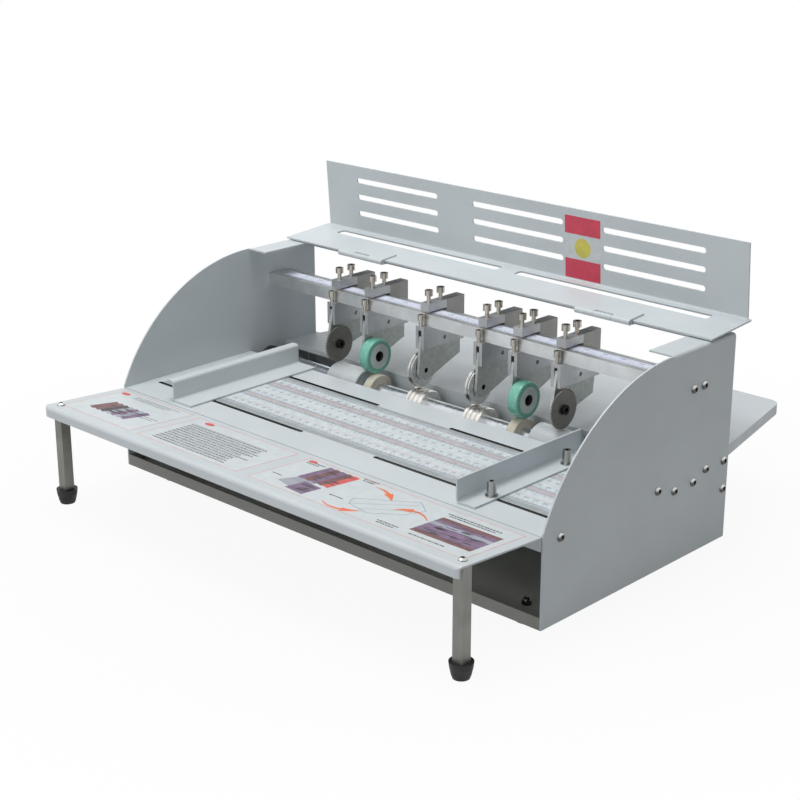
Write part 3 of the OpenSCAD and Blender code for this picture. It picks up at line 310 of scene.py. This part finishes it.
class Sheetwork:
    """Gathers closed flat pieces as arrays, in millimetres, and writes them into one mesh.

    Each piece lies between two heights, low and high, and has a tone, which names its
    material.
    """

    def __init__(self):
        self.points, self.faces, self.tones, self.count = [], [], [], 0

    def put(self, points, faces, tone):
        self.points.append(points)
        self.faces += [(np.asarray(face) + self.count).tolist() for face in faces]
        self.tones += [tone] * len(faces)
        self.count += len(points)

    def prism(self, outline, low, high, tone):
        """An outline (n, 2), turned anticlockwise, filled at both heights and walled."""
        outline = np.asarray(outline, float)
        x, y = outline.T
        if np.sum(x * np.roll(y, -1) - np.roll(x, -1) * y) < 0:
            outline = outline[::-1]
        n = len(outline)
        points = np.vstack([np.c_[outline, np.full(n, low)], np.c_[outline, np.full(n, high)]])
        i = np.arange(n)
        j = (i + 1) % n
        walls = np.c_[i, j, j + n, i + n]
        self.put(points, [i[::-1], i + n, *walls], tone)

    def bars(self, x, y, width, depth, low, high, tone):
        """Many upright boxes at once: each corner is its centre plus or minus half a side."""
        x, y, width, depth = np.broadcast_arrays(*(np.atleast_1d(np.asarray(v, float))
                                                   for v in (x, y, width, depth)))
        sx = np.array([-1, 1, 1, -1] * 2) / 2
        sy = np.array([-1, -1, 1, 1] * 2) / 2
        z = np.repeat([low, high], 4)
        points = np.stack([x[:, None] + sx * width[:, None], y[:, None] + sy * depth[:, None],
                           np.broadcast_to(z, (len(x), 8))], 2).reshape(-1, 3)
        box = np.array([[3, 2, 1, 0], [4, 5, 6, 7], [0, 1, 5, 4], [1, 2, 6, 5],
                        [2, 3, 7, 6], [3, 0, 4, 7]])
        faces = (box[None] + 8 * np.arange(len(x))[:, None, None]).reshape(-1, 4)
        self.put(points, faces, tone)

    def border(self, x0, y0, x1, y1, line, low, high, tone):
        """A rectangle drawn with a line of a given width."""
        self.bars([(x0 + x1) / 2] * 2, [y0, y1], x1 - x0 + line, line, low, high, tone)
        self.bars([x0, x1], [(y0 + y1) / 2] * 2, line, abs(y1 - y0) - line, low, high, tone)

    def stroke(self, path, widths, low, high, tone):
        """A path widened on both sides: each side is the path moved along its own normal."""
        path = np.asarray(path, float)
        along = np.gradient(path, axis=0)
        normal = np.c_[-along[:, 1], along[:, 0]] / np.linalg.norm(along, axis=1)[:, None]
        half = normal * (np.broadcast_to(widths, len(path)) / 2)[:, None]
        self.prism(np.vstack([path - half, (path + half)[::-1]]), low, high, tone)

    def dashes(self, draw, x0, x1, y, height, low, high, tone):
        """A row of short marks from x0 to x1, their widths and gaps drawn at random."""
        width = draw.uniform(0.9, 3.2, int((x1 - x0) / 1.2))
        ends = x0 + np.cumsum(width + draw.uniform(0.4, 1.0, len(width)))
        kept = ends < x1
        self.bars((ends - width / 2)[kept], y, width[kept], height, low, high, tone)

    def streaks(self, draw, x0, y0, x1, y1, count, low, high, tone):
        """Narrow slanting marks at random places inside a rectangle."""
        x = draw.uniform(x0, x1 - 7, count)
        y = draw.uniform(y0 + 1.2, y1 - 2.4, count)
        for px, py, length in zip(x, y, draw.uniform(4.0, 15.0, count)):
            end = min(px + length, x1)
            self.stroke([(px, py), ((px + end) / 2, py + 0.8), (end, py + 1.2)],
                        [0.6, draw.uniform(0.7, 2.1), 0.4], low, high, tone)

    def numbers(self, labels, x, y, height, low, high, tone):
        """Figures of a dial, filled as flat letters and carried to their places."""
        for label, px in zip(labels, x):
            curve = bpy.data.curves.new("figure", "FONT")
            curve.body, curve.size, curve.align_x = str(label), height * 1.4, "CENTER"
            curve.resolution_u, curve.extrude = 2, (high - low) / 2
            holder = bpy.data.objects.new("figure", curve)
            mesh = holder.to_mesh()
            points = np.empty(len(mesh.vertices) * 3)
            mesh.vertices.foreach_get("co", points)
            points = points.reshape(-1, 3) + (px, y, (low + high) / 2)
            self.put(points, [list(p.vertices) for p in mesh.polygons], tone)
            holder.to_mesh_clear()
            bpy.data.objects.remove(holder)
            bpy.data.curves.remove(curve)

    def finish(self, name, body, materials, place):
        """Millimetres to metres, carried by the placing matrix into the machine's frame."""
        points = np.vstack(self.points) * MM
        turn = np.array(place)
        points = points @ turn[:3, :3].T + turn[:3, 3]
        mesh = bpy.data.meshes.new(name)
        mesh.from_pydata(points.tolist(), [], self.faces)
        for material in materials.values():
            mesh.materials.append(material)
        order = {tone: slot for slot, tone in enumerate(materials)}
        slots = np.array([order[tone] for tone in self.tones], dtype=np.int32)
        mesh.polygons.foreach_set("material_index", slots)
        mesh.validate()
        mesh.update()
        piece = bpy.data.objects.new(name, mesh)
        bpy.context.scene.collection.objects.link(piece)
        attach(piece, body)
        return piece


def ellipse(x, y, rx, ry, count=24):
    """Centre plus cosine and sine of the turn, times each half width."""
    turn = np.linspace(0, 2 * np.pi, count, endpoint=False)
    return np.c_[x + rx * np.cos(turn), y + ry * np.sin(turn)]


def bowed(start, middle, end, count):
    """A parabola through three points: the quadratic Bezier whose waist meets the middle."""
    a, m, b = (np.asarray(p, float) for p in (start, middle, end))
    c = 2 * m - (a + b) / 2
    t = np.linspace(0, 1, count)[:, None]
    return (1 - t) ** 2 * a + 2 * t * (1 - t) * c + t ** 2 * b


def tick_lengths(steps, tens, fives, ones):
    """Lengths of a scale's ticks: the longest at each ten, the next at each five."""
    return np.where(steps % 10 == 0, tens, np.where(steps % 5 == 0, fives, ones))


# ---- settings --------------------------------------------------------------

def colour_property(name, description, default):
    return bpy.props.FloatVectorProperty(name=name, description=description, subtype="COLOR",
                                         size=3, min=0, max=1, default=default)


class CreaserFinishSettings(bpy.types.PropertyGroup):
    coat: colour_property("Powder coat", "Colour of the sheet-metal parts",
                          (0.56, 0.605, 0.625))
    pan: colour_property("Base pan", "Colour of the base pan's own coat", (0.25, 0.25, 0.228))
    tyre: colour_property("Feed tyre", "Colour of the soft feed tyres", (0.17, 0.47, 0.37))
    blade: colour_property("Blade", "Colour of the cutting blades", (0.20, 0.19, 0.175))
    block: colour_property("Head block", "Colour of the tool-head blocks", (0.44, 0.45, 0.46))


class CreaserScaleSettings(bpy.types.PropertyGroup):
    film: bpy.props.FloatProperty(
        name="Film thickness", description="Thickness of a printed film", unit="LENGTH",
        default=0.00008, min=0.00002, max=0.0003, precision=5)
    half_length: bpy.props.FloatProperty(
        name="Half length", description="Half the length of the feed table's scale",
        unit="LENGTH", default=0.247, min=0.1, max=0.255)
    front: bpy.props.FloatProperty(
        name="Front edge", description="Distance of the scale behind the table's front edge",
        unit="LENGTH", default=0.0435, min=0.04, max=0.06)
    rear: bpy.props.FloatProperty(
        name="Rear edge", description="Distance of the scale's rear edge behind the table's "
        "front edge", unit="LENGTH", default=0.125, min=0.1, max=0.128)
    ink: colour_property("Ink", "Colour of the ticks and figures", (0.13, 0.15, 0.19))


class CreaserPrintSettings(bpy.types.PropertyGroup):
    slope: bpy.props.FloatProperty(
        name="Slope", description="Slope of the front table: it drops 6 mm over 94.5 mm",
        unit="ROTATION", default=math.atan(6 / 94.5), min=0, max=0.3)
    line: bpy.props.FloatProperty(
        name="Line width", description="Width of the printed frames", unit="LENGTH",
        default=0.0007, min=0.0002, max=0.002, precision=4)
    frame_ink: colour_property("Frame ink", "Colour of the printed frames",
                               (0.66, 0.30, 0.27))
    arrow_ink: colour_property("Arrow ink", "Colour of the arrows", (0.78, 0.17, 0.06))


class CreaserStageSettings(bpy.types.PropertyGroup):
    lens: bpy.props.FloatProperty(
        name="Lens", description="Focal length on a 36 mm sensor, in millimetres",
        default=76.297, min=20, max=200)
    key_power: bpy.props.FloatProperty(
        name="Overhead light", description="Power of the large overhead light, in watts",
        default=18.0, min=0, max=500)
    ambient: bpy.props.FloatProperty(
        name="Ambient", description="Strength of the even light from all round",
        default=0.30, min=0, max=2)


# ---- finishes of the CAD nodes ---------------------------------------------

def dress(nodes, material):
    """Gives CAD nodes a finish; their meshes stay as packed."""
    for name in nodes:
        data = frame["nodes"][name].data
        data.materials.clear()
        data.materials.append(material)


class CREASER_OT_sheet_metal(bpy.types.Operator):
    """Powder coat on the frame, tables, guides, hinges and cover"""
    bl_idname = "creaser.sheet_metal"
    bl_label = "Sheet metal"

    def execute(self, context):
        settings = context.scene.creaser_finish
        coat = tuple(settings.coat)
        dress(SHEET_METAL, powder_coat("Light grey powder coat", coat))
        # painted shade on the feed table's slot walls and in its seam
        dress(["feed_table"], powder_coat("Feed table coat", coat, in_a_slot))
        # painted shadow line along the front table's seam
        dress(["front_table"], powder_coat("Front table coat", coat, in_the_seam))
        dress(["base_pan"], powder_coat("Base pan coat", tuple(settings.pan)))
        return {"FINISHED"}


class CREASER_OT_frame_fittings(bpy.types.Operator):
    """Legs, rubber cups, feet, screws, hinge pins and the tool bar"""
    bl_idname = "creaser.frame_fittings"
    bl_label = "Frame fittings"

    def execute(self, context):
        dress(["front_legs"],
              brushed("Leg steel", (0.225, 0.225, 0.208), (1, 1, 0.04), (0.38, 0.55), 0.8))
        dress(["leg_cups", "base_feet"], moulded("Black rubber", NEAR_BLACK, (0.5, 0.7)))
        dress(["hinge_pins", "left_guide_screws", "right_guide_screws"],
              brushed("Nickel plate", (0.42, 0.42, 0.405), (1, 1, 0.3), (0.16, 0.28)))
        dress(["frame_screws"], polished("Screws with painted sheen", (0.62, 0.62, 0.60)))
        dress(["head_screws_%d" % n for n in HEADS],
              brushed("Warm nickel", (0.52, 0.48, 0.42), (1, 1, 0.3), (0.16, 0.28)))
        dress(["tool_bar"],
              brushed("Drawn aluminium bar", (0.70, 0.71, 0.71), (0.02, 1, 1), (0.3, 0.45)))
        return {"FINISHED"}


class CREASER_OT_tool_heads(bpy.types.Operator):
    """Blocks, arms, blades, feed wheels and creasing wheels"""
    bl_idname = "creaser.tool_heads"
    bl_label = "Tool heads"

    def execute(self, context):
        settings = context.scene.creaser_finish
        dress(["head_block_%d" % n for n in HEADS],
              machined_block("Machined block", tuple(settings.block)))
        for n in HEADS:
            dark_radius = CREASE_AXLE if n in CREASE_HEADS else WIDE_AXLE
            dress(["head_arm_%d" % n],
                  zinc_plate("Zinc-plated arm %d" % n, (0.45, 0.48, 0.47),
                             joint_place("wheel_spin_%d" % n), dark_radius, 0.65))
        for n in BLADE_HEADS:
            name = "cutting_blade_%d" % n
            dress([name], turned_metal("Blade steel %d" % n, tuple(settings.blade),
                                       middle_of(name), (0.38, 0.55), 0.8))
        for n in CREASE_HEADS:
            name = "creasing_wheel_%d" % n
            dress([name], turned_metal("Creasing steel %d" % n, (0.62, 0.62, 0.61),
                                       middle_of(name), (0.2, 0.36)))
        dress(["feed_wheel_%d" % n for n in FEED_HEADS],
              moulded("Pale hub", (0.55, 0.62, 0.59), (0.3, 0.42),
                      bore=middle_of("feed_wheel_2")))
        dress(["feed_tyre_%d" % n for n in FEED_HEADS],
              moulded("Soft green tyre", tuple(settings.tyre), (0.2, 0.34), 500, 0.00003,
                      Subsurface_Weight=0.35, Subsurface_Scale=0.004, Coat_Weight=0.3,
                      Coat_Roughness=0.15))
        return {"FINISHED"}


class CREASER_OT_drive(bpy.types.Operator):
    """Shaft, rings, dies, drums, bearings, pulleys, belt and motor"""
    bl_idname = "creaser.drive"
    bl_label = "Drive"

    def execute(self, context):
        shaft_axis, motor_axis = middle_of("drive_shaft"), middle_of("motor_pulley")
        for node, name, colour, axis, rough in (
                ("drive_shaft", "Ground shaft", (0.62, 0.66, 0.70), shaft_axis, (0.2, 0.3)),
                ("creasing_dies", "Turned dies", (0.82, 0.80, 0.77), shaft_axis, (0.24, 0.36)),
                ("shaft_pulley", "Shaft pulley", (0.5, 0.5, 0.5), shaft_axis, (0.3, 0.45)),
                ("motor_pulley", "Motor pulley", (0.5, 0.5, 0.5), motor_axis, (0.3, 0.45))):
            dress([node], turned_metal(name, colour, axis, rough))
        dress(["feed_rings"], moulded("Cream nylon", (0.60, 0.56, 0.46), (0.3, 0.42)))
        dress(["anvil_drums"], moulded("Pale drum", (0.50, 0.53, 0.54), (0.28, 0.4)))
        dress(["shaft_bearings", "motor"],
              moulded("Dark enamel", (0.035, 0.037, 0.04), (0.35, 0.5), 500))
        dress(["motor_bracket"], zinc_plate("Zinc bracket", (0.40, 0.41, 0.40)))
        dress(["drive_belt"], moulded("Belt rubber", (0.015, 0.015, 0.015), (0.55, 0.75)))
        return {"FINISHED"}


class CREASER_OT_rear_fittings(bpy.types.Operator):
    """Power inlet, switch housing and rocker"""
    bl_idname = "creaser.rear_fittings"
    bl_label = "Rear fittings"

    def execute(self, context):
        dress(["power_inlet", "switch_housing"],
              moulded("Black plastic", (0.014, 0.014, 0.015), (0.38, 0.52)))
        dress(["switch_rocker"],
              moulded("Rocker plastic", (0.02, 0.02, 0.021), (0.22, 0.32)))
        return {"FINISHED"}


# ---- scales, print and patch; their sizes are in millimetres ----------------


class CREASER_OT_feed_scale(bpy.types.Operator):
    """Printed scale across the feed table, with two grey bands"""
    bl_idname = "creaser.feed_scale"
    bl_label = "Feed table scale"

    INK_THICK, END_MARGIN = 0.03, 4                   # ticks stop short of the film's ends
    BANDS_OUT, BAND_WIDTHS = (3.4, 2.7), (6.6, 5.2)   # grey bands before and behind the film
    RED_ROW, RED_LINE, LINE_IN = 1.8, 0.6, 13.5       # widths, and how far in the lines are
    EDGE_GAP, ROW_GAP = 0.4, 1.1                      # from an edge or a red row to its ticks
    TICK, TICK_LENGTHS, FIGURE = 0.36, (7.5, 5.8, 4.0), 2.6

    def execute(self, context):
        s = context.scene.creaser_scale
        film, half = s.film / MM, s.half_length / MM
        front, rear = s.front / MM, s.rear / MM
        inked = film, film + self.INK_THICK
        work = Sheetwork()
        work.bars(0, (front + rear) / 2, 2 * half, rear - front, 0, film, "film")
        work.bars([0, 0], [front - self.BANDS_OUT[0], rear + self.BANDS_OUT[1]], 2 * half,
                  self.BAND_WIDTHS, 0, film, "band")
        third = (rear - front) / 3
        first_red, second_red = front + third * 1.06, rear - third * 0.7
        red_length = 2 * half - self.END_MARGIN
        work.bars([0, 0], [first_red, second_red], red_length, self.RED_ROW, *inked, "red")
        work.bars([0, 0], [front + self.LINE_IN, rear - self.LINE_IN], red_length,
                  self.RED_LINE, *inked, "red")
        last = int(half - self.END_MARGIN)
        steps = np.arange(-last, last + 1)
        length = tick_lengths(steps, *self.TICK_LENGTHS)
        # rows of ticks: the edge or red row that they start from, the gap and the way they run
        for start, gap, way in ((front, self.EDGE_GAP, 1), (rear, self.EDGE_GAP, -1),
                                (first_red, self.ROW_GAP, -1), (first_red, self.ROW_GAP, 1),
                                (second_red, self.ROW_GAP, 1), (second_red, self.ROW_GAP, -1)):
            work.bars(steps, start + way * gap + way * length / 2, self.TICK, length, *inked,
                      "ink")
        tens = steps[steps % 10 == 0]
        for y in (front + 9.2, rear - 12.2, first_red + 9.4, second_red - 12.4):
            work.numbers(np.abs(tens), tens, y, self.FIGURE, *inked, "ink")
        work.finish("feed_scale", "frame", {
            "film": printed("Scale film", (0.60, 0.655, 0.68)),
            "band": printed("Grey band", (0.33, 0.36, 0.37)),
            "ink": printed("Scale ink", tuple(s.ink)),
            "red": printed("Scale red", (0.60, 0.42, 0.41))}, table_place())
        return {"FINISHED"}


class CREASER_OT_bar_scale(bpy.types.Operator):
    """Pale scale tape in the recess along the top of the tool bar"""
    bl_idname = "creaser.bar_scale"
    bl_label = "Bar scale tape"

    TAPE_WIDTH, TAPE_SHORT, TICKS_SHORT = 13.4, 15, 2   # how far tape and ticks stop short
    TICK, TICK_LENGTHS, TICK_START = 0.28, (6.0, 4.4, 2.8), -6.4
    FIGURE, FIGURE_ROW = 2.8, 1.6

    def execute(self, context):
        tape, inked = (-0.36, -0.16), (-0.16, -0.13)
        half = BAR_HIGH.x / MM - self.TAPE_SHORT
        work = Sheetwork()
        work.bars(0, 0, 2 * half, self.TAPE_WIDTH, *tape, "tape")
        last = int(half - self.TICKS_SHORT)
        steps = np.arange(-last, last + 1)
        length = tick_lengths(steps, *self.TICK_LENGTHS)
        work.bars(steps, self.TICK_START + length / 2, self.TICK, length, *inked, "ink")
        twenties = steps[steps % 20 == 0]
        work.numbers(np.abs(twenties), twenties, self.FIGURE_ROW, self.FIGURE, *inked, "ink")
        work.finish("bar_scale_tape", "frame", {
            "tape": printed("Tape", (0.66, 0.69, 0.80), 0.95),
            "ink": printed("Tape ink", (0.2, 0.22, 0.3))},
            Matrix.Translation((0, (BAR_LOW.y + BAR_HIGH.y) / 2, BAR_HIGH.z)))
        return {"FINISHED"}


class CREASER_OT_front_print(bpy.types.Operator):
    """Printed panels on the front table: frames, arrows and plain folded-card shapes"""
    bl_idname = "creaser.front_print"
    bl_label = "Front table print"

    # heights of the paper and of the inks that lie over each other
    PAPER, INK, OVER, TOP = (0, 0.06), (0.06, 0.09), (0.09, 0.12), (0.12, 0.15)

    def execute(self, context):
        s = context.scene.creaser_print
        work, draw = Sheetwork(), np.random.default_rng(7)
        self.panels(work, s.line / MM)
        self.ruled_rows(work, draw)
        self.small_cards(work)
        self.folding_sheet(work)
        self.large_card(work)
        self.marks(work, draw)
        place = table_place() @ Matrix.Rotation(-s.slope, 4, "X")
        work.finish("front_print", "frame", {
            "paper": printed("Panel paper", (0.585, 0.63, 0.645), 0.97),
            "red": printed("Frame ink", tuple(s.frame_ink)),
            "grey": printed("Grey ink", (0.20, 0.21, 0.23)),
            "orange": printed("Arrow ink", tuple(s.arrow_ink)),
            "violet": printed("Violet ink", (0.22, 0.14, 0.24), 0.7),
            "brown": printed("Brown ink", (0.19, 0.08, 0.08), 0.7),
            "pale": printed("Pale ink", (0.36, 0.38, 0.44), 0.85),
            "blue": printed("Blue ink", (0.20, 0.27, 0.34)),
            "crimson": printed("Crimson ink", (0.62, 0.10, 0.09)),
            "dark": printed("Dark ink", (0.035, 0.03, 0.035))}, place)
        return {"FINISHED"}

    def panels(self, work, line):
        """Three panels with a printed border: card, ruled rows, folding steps."""
        for x0, y0, x1, y1 in ((-251, -81, -149.5, -4), (-140, -81, -5.5, -7),
                               (8, -81, 251, -7)):
            work.bars((x0 + x1) / 2, (y0 + y1) / 2, x1 - x0, y1 - y0, *self.PAPER, "paper")
            work.border(x0 + 1, y0 + 1, x1 - 1, y1 - 1, line, *self.INK, "red")
        for x, y in ((-242, -12.7), (-118.4, -12.9)):
            work.prism(ellipse(x, y, 6.0, 3.2), *self.INK, "crimson")

    def ruled_rows(self, work, draw):
        """Rows of dashes with ragged ends: a dark row, then a finer grey one behind it."""
        count = 11
        for y, cut, ragged in zip(np.linspace(-25, -73, count), np.linspace(0, 14, count),
                                  draw.uniform(0, 14, count)):
            start = -130 + cut / 4
            work.dashes(draw, start, -16 - cut / 2 - ragged, y, 1.6, *self.INK, "dark")
            work.dashes(draw, start, -26 - cut / 2, y + 2.3, 0.7, *self.INK, "grey")
        for x0, x1, y, height in ((-228, -165, -10.5, 1.3), (-228, -172, -13.6, 1.3),
                                  (-228, -178, -16.7, 1.3), (-184, -154, -44, 1.4),
                                  (-180, -158, -48, 1.4)):
            work.dashes(draw, x0, x1, y, height, *self.INK, "grey")

    def small_cards(self, work):
        """A folded card drawn as slanted strips, and two cards laid over each other."""
        for k, tone in enumerate(("brown", "brown", "dark", "pale", "violet", "pale",
                                  "violet")):
            x = -233 + 7.6 * k
            work.prism([(x, -62), (x + 7.6, -64.5), (x + 13.6, -37.5), (x + 6, -35)],
                       *self.INK, tone)
        work.prism([(31, -66), (52, -71), (60, -49), (39, -44)], *self.INK, "pale")
        for k, tone in enumerate(("violet", "brown", "violet", "brown", "crimson")):
            x = 38 + 7.4 * k
            work.prism([(x - 2, -48), (x + 5.4, -49.5), (x + 7.4, -12.5), (x, -11)],
                       *self.OVER, tone)
        work.prism([(48, -74), (70, -76), (71, -54), (50, -52)], *self.OVER, "violet")

    def folding_sheet(self, work):
        """Outline of a sheet with two fold lines, and arrows that show the way it folds."""
        sheet = [(104, -50), (147, -15), (163, -27), (158, -45), (135, -66), (110, -61)]
        for a, b in zip(sheet, sheet[1:] + sheet[:1]):
            work.stroke([a, b], 0.6, *self.INK, "blue")
        for fold in ([(110, -61), (152, -21)], [(122, -64), (160, -33)]):
            work.stroke(fold, 0.5, *self.INK, "blue")
        for ends in (((97, -17), (112, -19), (129, -31)), ((91, -73), (111, -77), (129, -66)),
                     ((178, -42), (160, -34), (143, -44))):
            path = bowed(*ends, 14)
            shaft, tip = path[:9], path[8:]
            work.stroke(shaft, np.linspace(0.8, 3.6, len(shaft)), *self.INK, "orange")
            work.stroke(tip, np.linspace(8.4, 0.3, len(tip)), *self.INK, "orange")

    def large_card(self, work):
        """A card with coloured bands."""
        for k, tone in enumerate(("brown", "violet", "violet", "violet", "pale", "violet",
                                  "brown")):
            y = -66 + 5.7 * k
            work.prism([(181, y), (243, y + 0.6), (243.5, y + 6.3), (181.5, y + 5.7)],
                       *self.INK, tone)

    def marks(self, work, draw):
        """Dark creases and marks on the cards, then short rows beside them."""
        for x0, y0, x1, y1, count, layer in (
                (184, -64, 241, -28, 44, self.OVER), (-221, -60, -176, -40, 30, self.OVER),
                (50, -73, 69, -54, 12, self.TOP), (41, -46, 72, -14, 22, self.TOP)):
            work.streaks(draw, x0, y0, x1, y1, count, *layer, "dark")
        for x0, x1, y in ((14, 34, -14), (14, 30, -17.5), (76, 96, -9.5), (78, 92, -13),
                          (178, 236, -17), (182, 232, -20.5), (186, 226, -72.5),
                          (150, 176, -70), (152, 172, -73.5), (84, 100, -58), (14, 27, -57)):
            work.dashes(draw, x0, x1, y, 1.7, *self.INK, "dark")
        work.prism(ellipse(18, -12.7, 5.0, 2.8), *self.OVER, "crimson")


class CREASER_OT_cover_patch(bpy.types.Operator):
    """Plain sticker with two coloured bands on the cover's wall"""
    bl_idname = "creaser.cover_patch"
    bl_label = "Cover patch"

    ACROSS, WIDTH, UP, HEIGHT = 79, 41, 33, 60     # middle and size of the film on the wall
    BAND_UPS, BAND_HEIGHTS = (54.4, 12.4), (17.2, 18.8)
    DISC_UP, DISC_RADIUS = 33.4, 9.4
    TILT, WALL_FRONT, FOOT = math.radians(4), 63.0, -0.35   # the open wall, from the hinge

    def execute(self, context):
        film, inked = (0, 0.08), (0.08, 0.12)
        work = Sheetwork()
        work.bars(self.ACROSS, self.UP, self.WIDTH, self.HEIGHT, *film, "film")
        work.bars([self.ACROSS] * 2, self.BAND_UPS, self.WIDTH, self.BAND_HEIGHTS, *inked,
                  "red")
        work.prism(ellipse(self.ACROSS, self.DISC_UP, self.DISC_RADIUS, self.DISC_RADIUS, 40),
                   *inked, "yellow")
        # height up the wall is y here; the wall's front face looks along -Y when level
        stand = Matrix(((1, 0, 0, 0), (0, 0, -1, self.WALL_FRONT * MM),
                        (0, 1, 0, self.FOOT * MM), (0, 0, 0, 1)))
        place = (Matrix.Translation(joint_place("cover_hinge"))
                 @ Matrix.Rotation(self.TILT, 4, "X") @ stand)
        work.finish("cover_patch", "cover", {
            "film": printed("Patch film", (0.58, 0.62, 0.63)),
            "red": printed("Patch red", (0.62, 0.055, 0.10)),
            "yellow": printed("Patch yellow", (0.62, 0.55, 0.10))}, place)
        return {"FINISHED"}


# ---- stage -----------------------------------------------------------------

FLOOR_HALF, FLOOR_DROP = 4.0, 0.0002
CAMERA_PLACE = (1.00898, -1.09743, 0.62397)
CAMERA_FORWARD = (-0.65081, 0.68450, -0.32848)
CAMERA_SHIFT = (-0.0032, -0.0028)
LIGHT_AIM = (0, 0, 0.1)


class CREASER_OT_stage(bpy.types.Operator):
    """Pale floor, soft light and the camera at the photograph's angle"""
    bl_idname = "creaser.stage"
    bl_label = "Stage"

    def execute(self, context):
        settings = context.scene.creaser_stage
        self.floor(context)
        self.lamps(context, settings.key_power)
        self.world(context, settings.ambient)
        self.camera(context, settings.lens)
        context.scene.view_settings.view_transform = "Standard"
        return {"FINISHED"}

    def seen(self, tree):
        """One for camera, glossy and transmission rays, nought for the rest."""
        rays = add_node(tree, "ShaderNodeLightPath").outputs
        value = rays["Is Camera Ray"]
        for other in ("Is Glossy Ray", "Is Transmission Ray"):
            value = add_node(tree, "ShaderNodeMath", {0: value, 1: rays[other]},
                             operation="MAXIMUM").outputs[0]
        return value

    def floor(self, context):
        """A flat square just under the feet, which glows white to the camera further out."""
        corner = np.array([[-1, -1, 0], [1, -1, 0], [1, 1, 0], [-1, 1, 0]], float) * FLOOR_HALF
        corner[:, 2] = -FLOOR_DROP
        mesh = bpy.data.meshes.new("floor")
        mesh.from_pydata(corner.tolist(), [], [[0, 1, 2, 3]])
        floor = bpy.data.objects.new("floor", mesh)
        context.scene.collection.objects.link(floor)
        f = Finish("White floor", Base_Color=(0.6, 0.6, 0.6, 1), Roughness=0.9)
        far = f.add("ShaderNodeVectorMath", {0: f.coords}, operation="LENGTH").outputs["Value"]
        share = f.math("MULTIPLY", self.seen(f.tree), f.spread(far, 0.93, 1.0, 0.25, 0.6))
        glow = f.add("ShaderNodeEmission").outputs["Emission"]
        mix = f.add("ShaderNodeMixShader", {"Fac": share, 1: f.shader.outputs["BSDF"], 2: glow})
        f.tree.links.new(mix.outputs["Shader"],
                         f.tree.nodes["Material Output"].inputs["Surface"])
        mesh.materials.append(f.material)

    def lamps(self, context, power):
        """A broad overhead panel and a soft panel from the front left."""
        for name, place, size, share in (("overhead", (-0.16, -0.15, 1.6), 0.9, 1.0),
                                         ("front", (-0.2, -2.0, 1.0), 1.1, 0.58)):
            data = bpy.data.lights.new(name, "AREA")
            data.shape, data.size, data.energy = "SQUARE", size, power * share
            lamp = bpy.data.objects.new(name, data)
            context.scene.collection.objects.link(lamp)
            lamp.location = place
            aim = Vector(LIGHT_AIM) - Vector(place)
            lamp.rotation_euler = aim.to_track_quat("-Z", "Y").to_euler()

    def world(self, context, ambient):
        """An even world that lights the machine softly and shows white behind it."""
        world = bpy.data.worlds.new("soft_world")
        context.scene.world = world
        world.use_nodes = True
        tree = world.node_tree
        even = tree.nodes["Background"]
        even.inputs["Color"].default_value = (0.96, 0.98, 1.0, 1)
        even.inputs["Strength"].default_value = ambient
        white = add_node(tree, "ShaderNodeBackground", {"Color": (1, 1, 1, 1)})
        mix = add_node(tree, "ShaderNodeMixShader",
                       {"Fac": self.seen(tree), 1: even.outputs["Background"],
                        2: white.outputs["Background"]})
        tree.links.new(mix.outputs["Shader"], tree.nodes["World Output"].inputs["Surface"])

    def camera(self, context, lens):
        """Stands where the photograph was taken from: right and front of the machine."""
        data = bpy.data.cameras.new("camera")
        data.lens, data.sensor_width = lens, 36.0
        data.shift_x, data.shift_y = CAMERA_SHIFT
        data.clip_start, data.clip_end = 0.05, 50
        camera = bpy.data.objects.new("camera", data)
        context.scene.collection.objects.link(camera)
        forward = Vector(CAMERA_FORWARD).normalized()
        right = forward.cross(Vector((0, 0, 1))).normalized()
        up = right.cross(forward)
        turn = Matrix((right, up, -forward)).transposed().to_4x4()
        camera.matrix_world = Matrix.Translation(CAMERA_PLACE) @ turn
        context.scene.camera = camera


# ---- add-on ----------------------------------------------------------------

PIECES = (CREASER_OT_sheet_metal, CREASER_OT_frame_fittings, CREASER_OT_tool_heads,
          CREASER_OT_drive, CREASER_OT_rear_fittings, CREASER_OT_feed_scale,
          CREASER_OT_bar_scale, CREASER_OT_front_print, CREASER_OT_cover_patch,
          CREASER_OT_stage)


class CREASER_PT_panel(bpy.types.Panel):
    """Lists the machine's pieces and the stage"""
    bl_idname = "CREASER_PT_panel"
    bl_label = "Creasing machine"
    bl_space_type = "VIEW_3D"
    bl_region_type = "UI"
    bl_category = "Creaser"

    def draw(self, context):
        for piece in PIECES:
            self.layout.operator(piece.bl_idname)


SETTINGS = {"creaser_finish": CreaserFinishSettings, "creaser_scale": CreaserScaleSettings,
            "creaser_print": CreaserPrintSettings, "creaser_stage": CreaserStageSettings}


def register():
    for group in (*SETTINGS.values(), *PIECES, CREASER_PT_panel):
        bpy.utils.register_class(group)
    for name, group in SETTINGS.items():
        setattr(bpy.types.Scene, name, bpy.props.PointerProperty(type=group))


def unregister():
    for name in SETTINGS:
        delattr(bpy.types.Scene, name)
    for group in reversed((*SETTINGS.values(), *PIECES, CREASER_PT_panel)):
        bpy.utils.unregister_class(group)


def main():
    register()
    for piece in PIECES:
        module, name = piece.bl_idname.split(".")
        getattr(getattr(bpy.ops, module), name)()


if __name__ == "__main__":
    main()
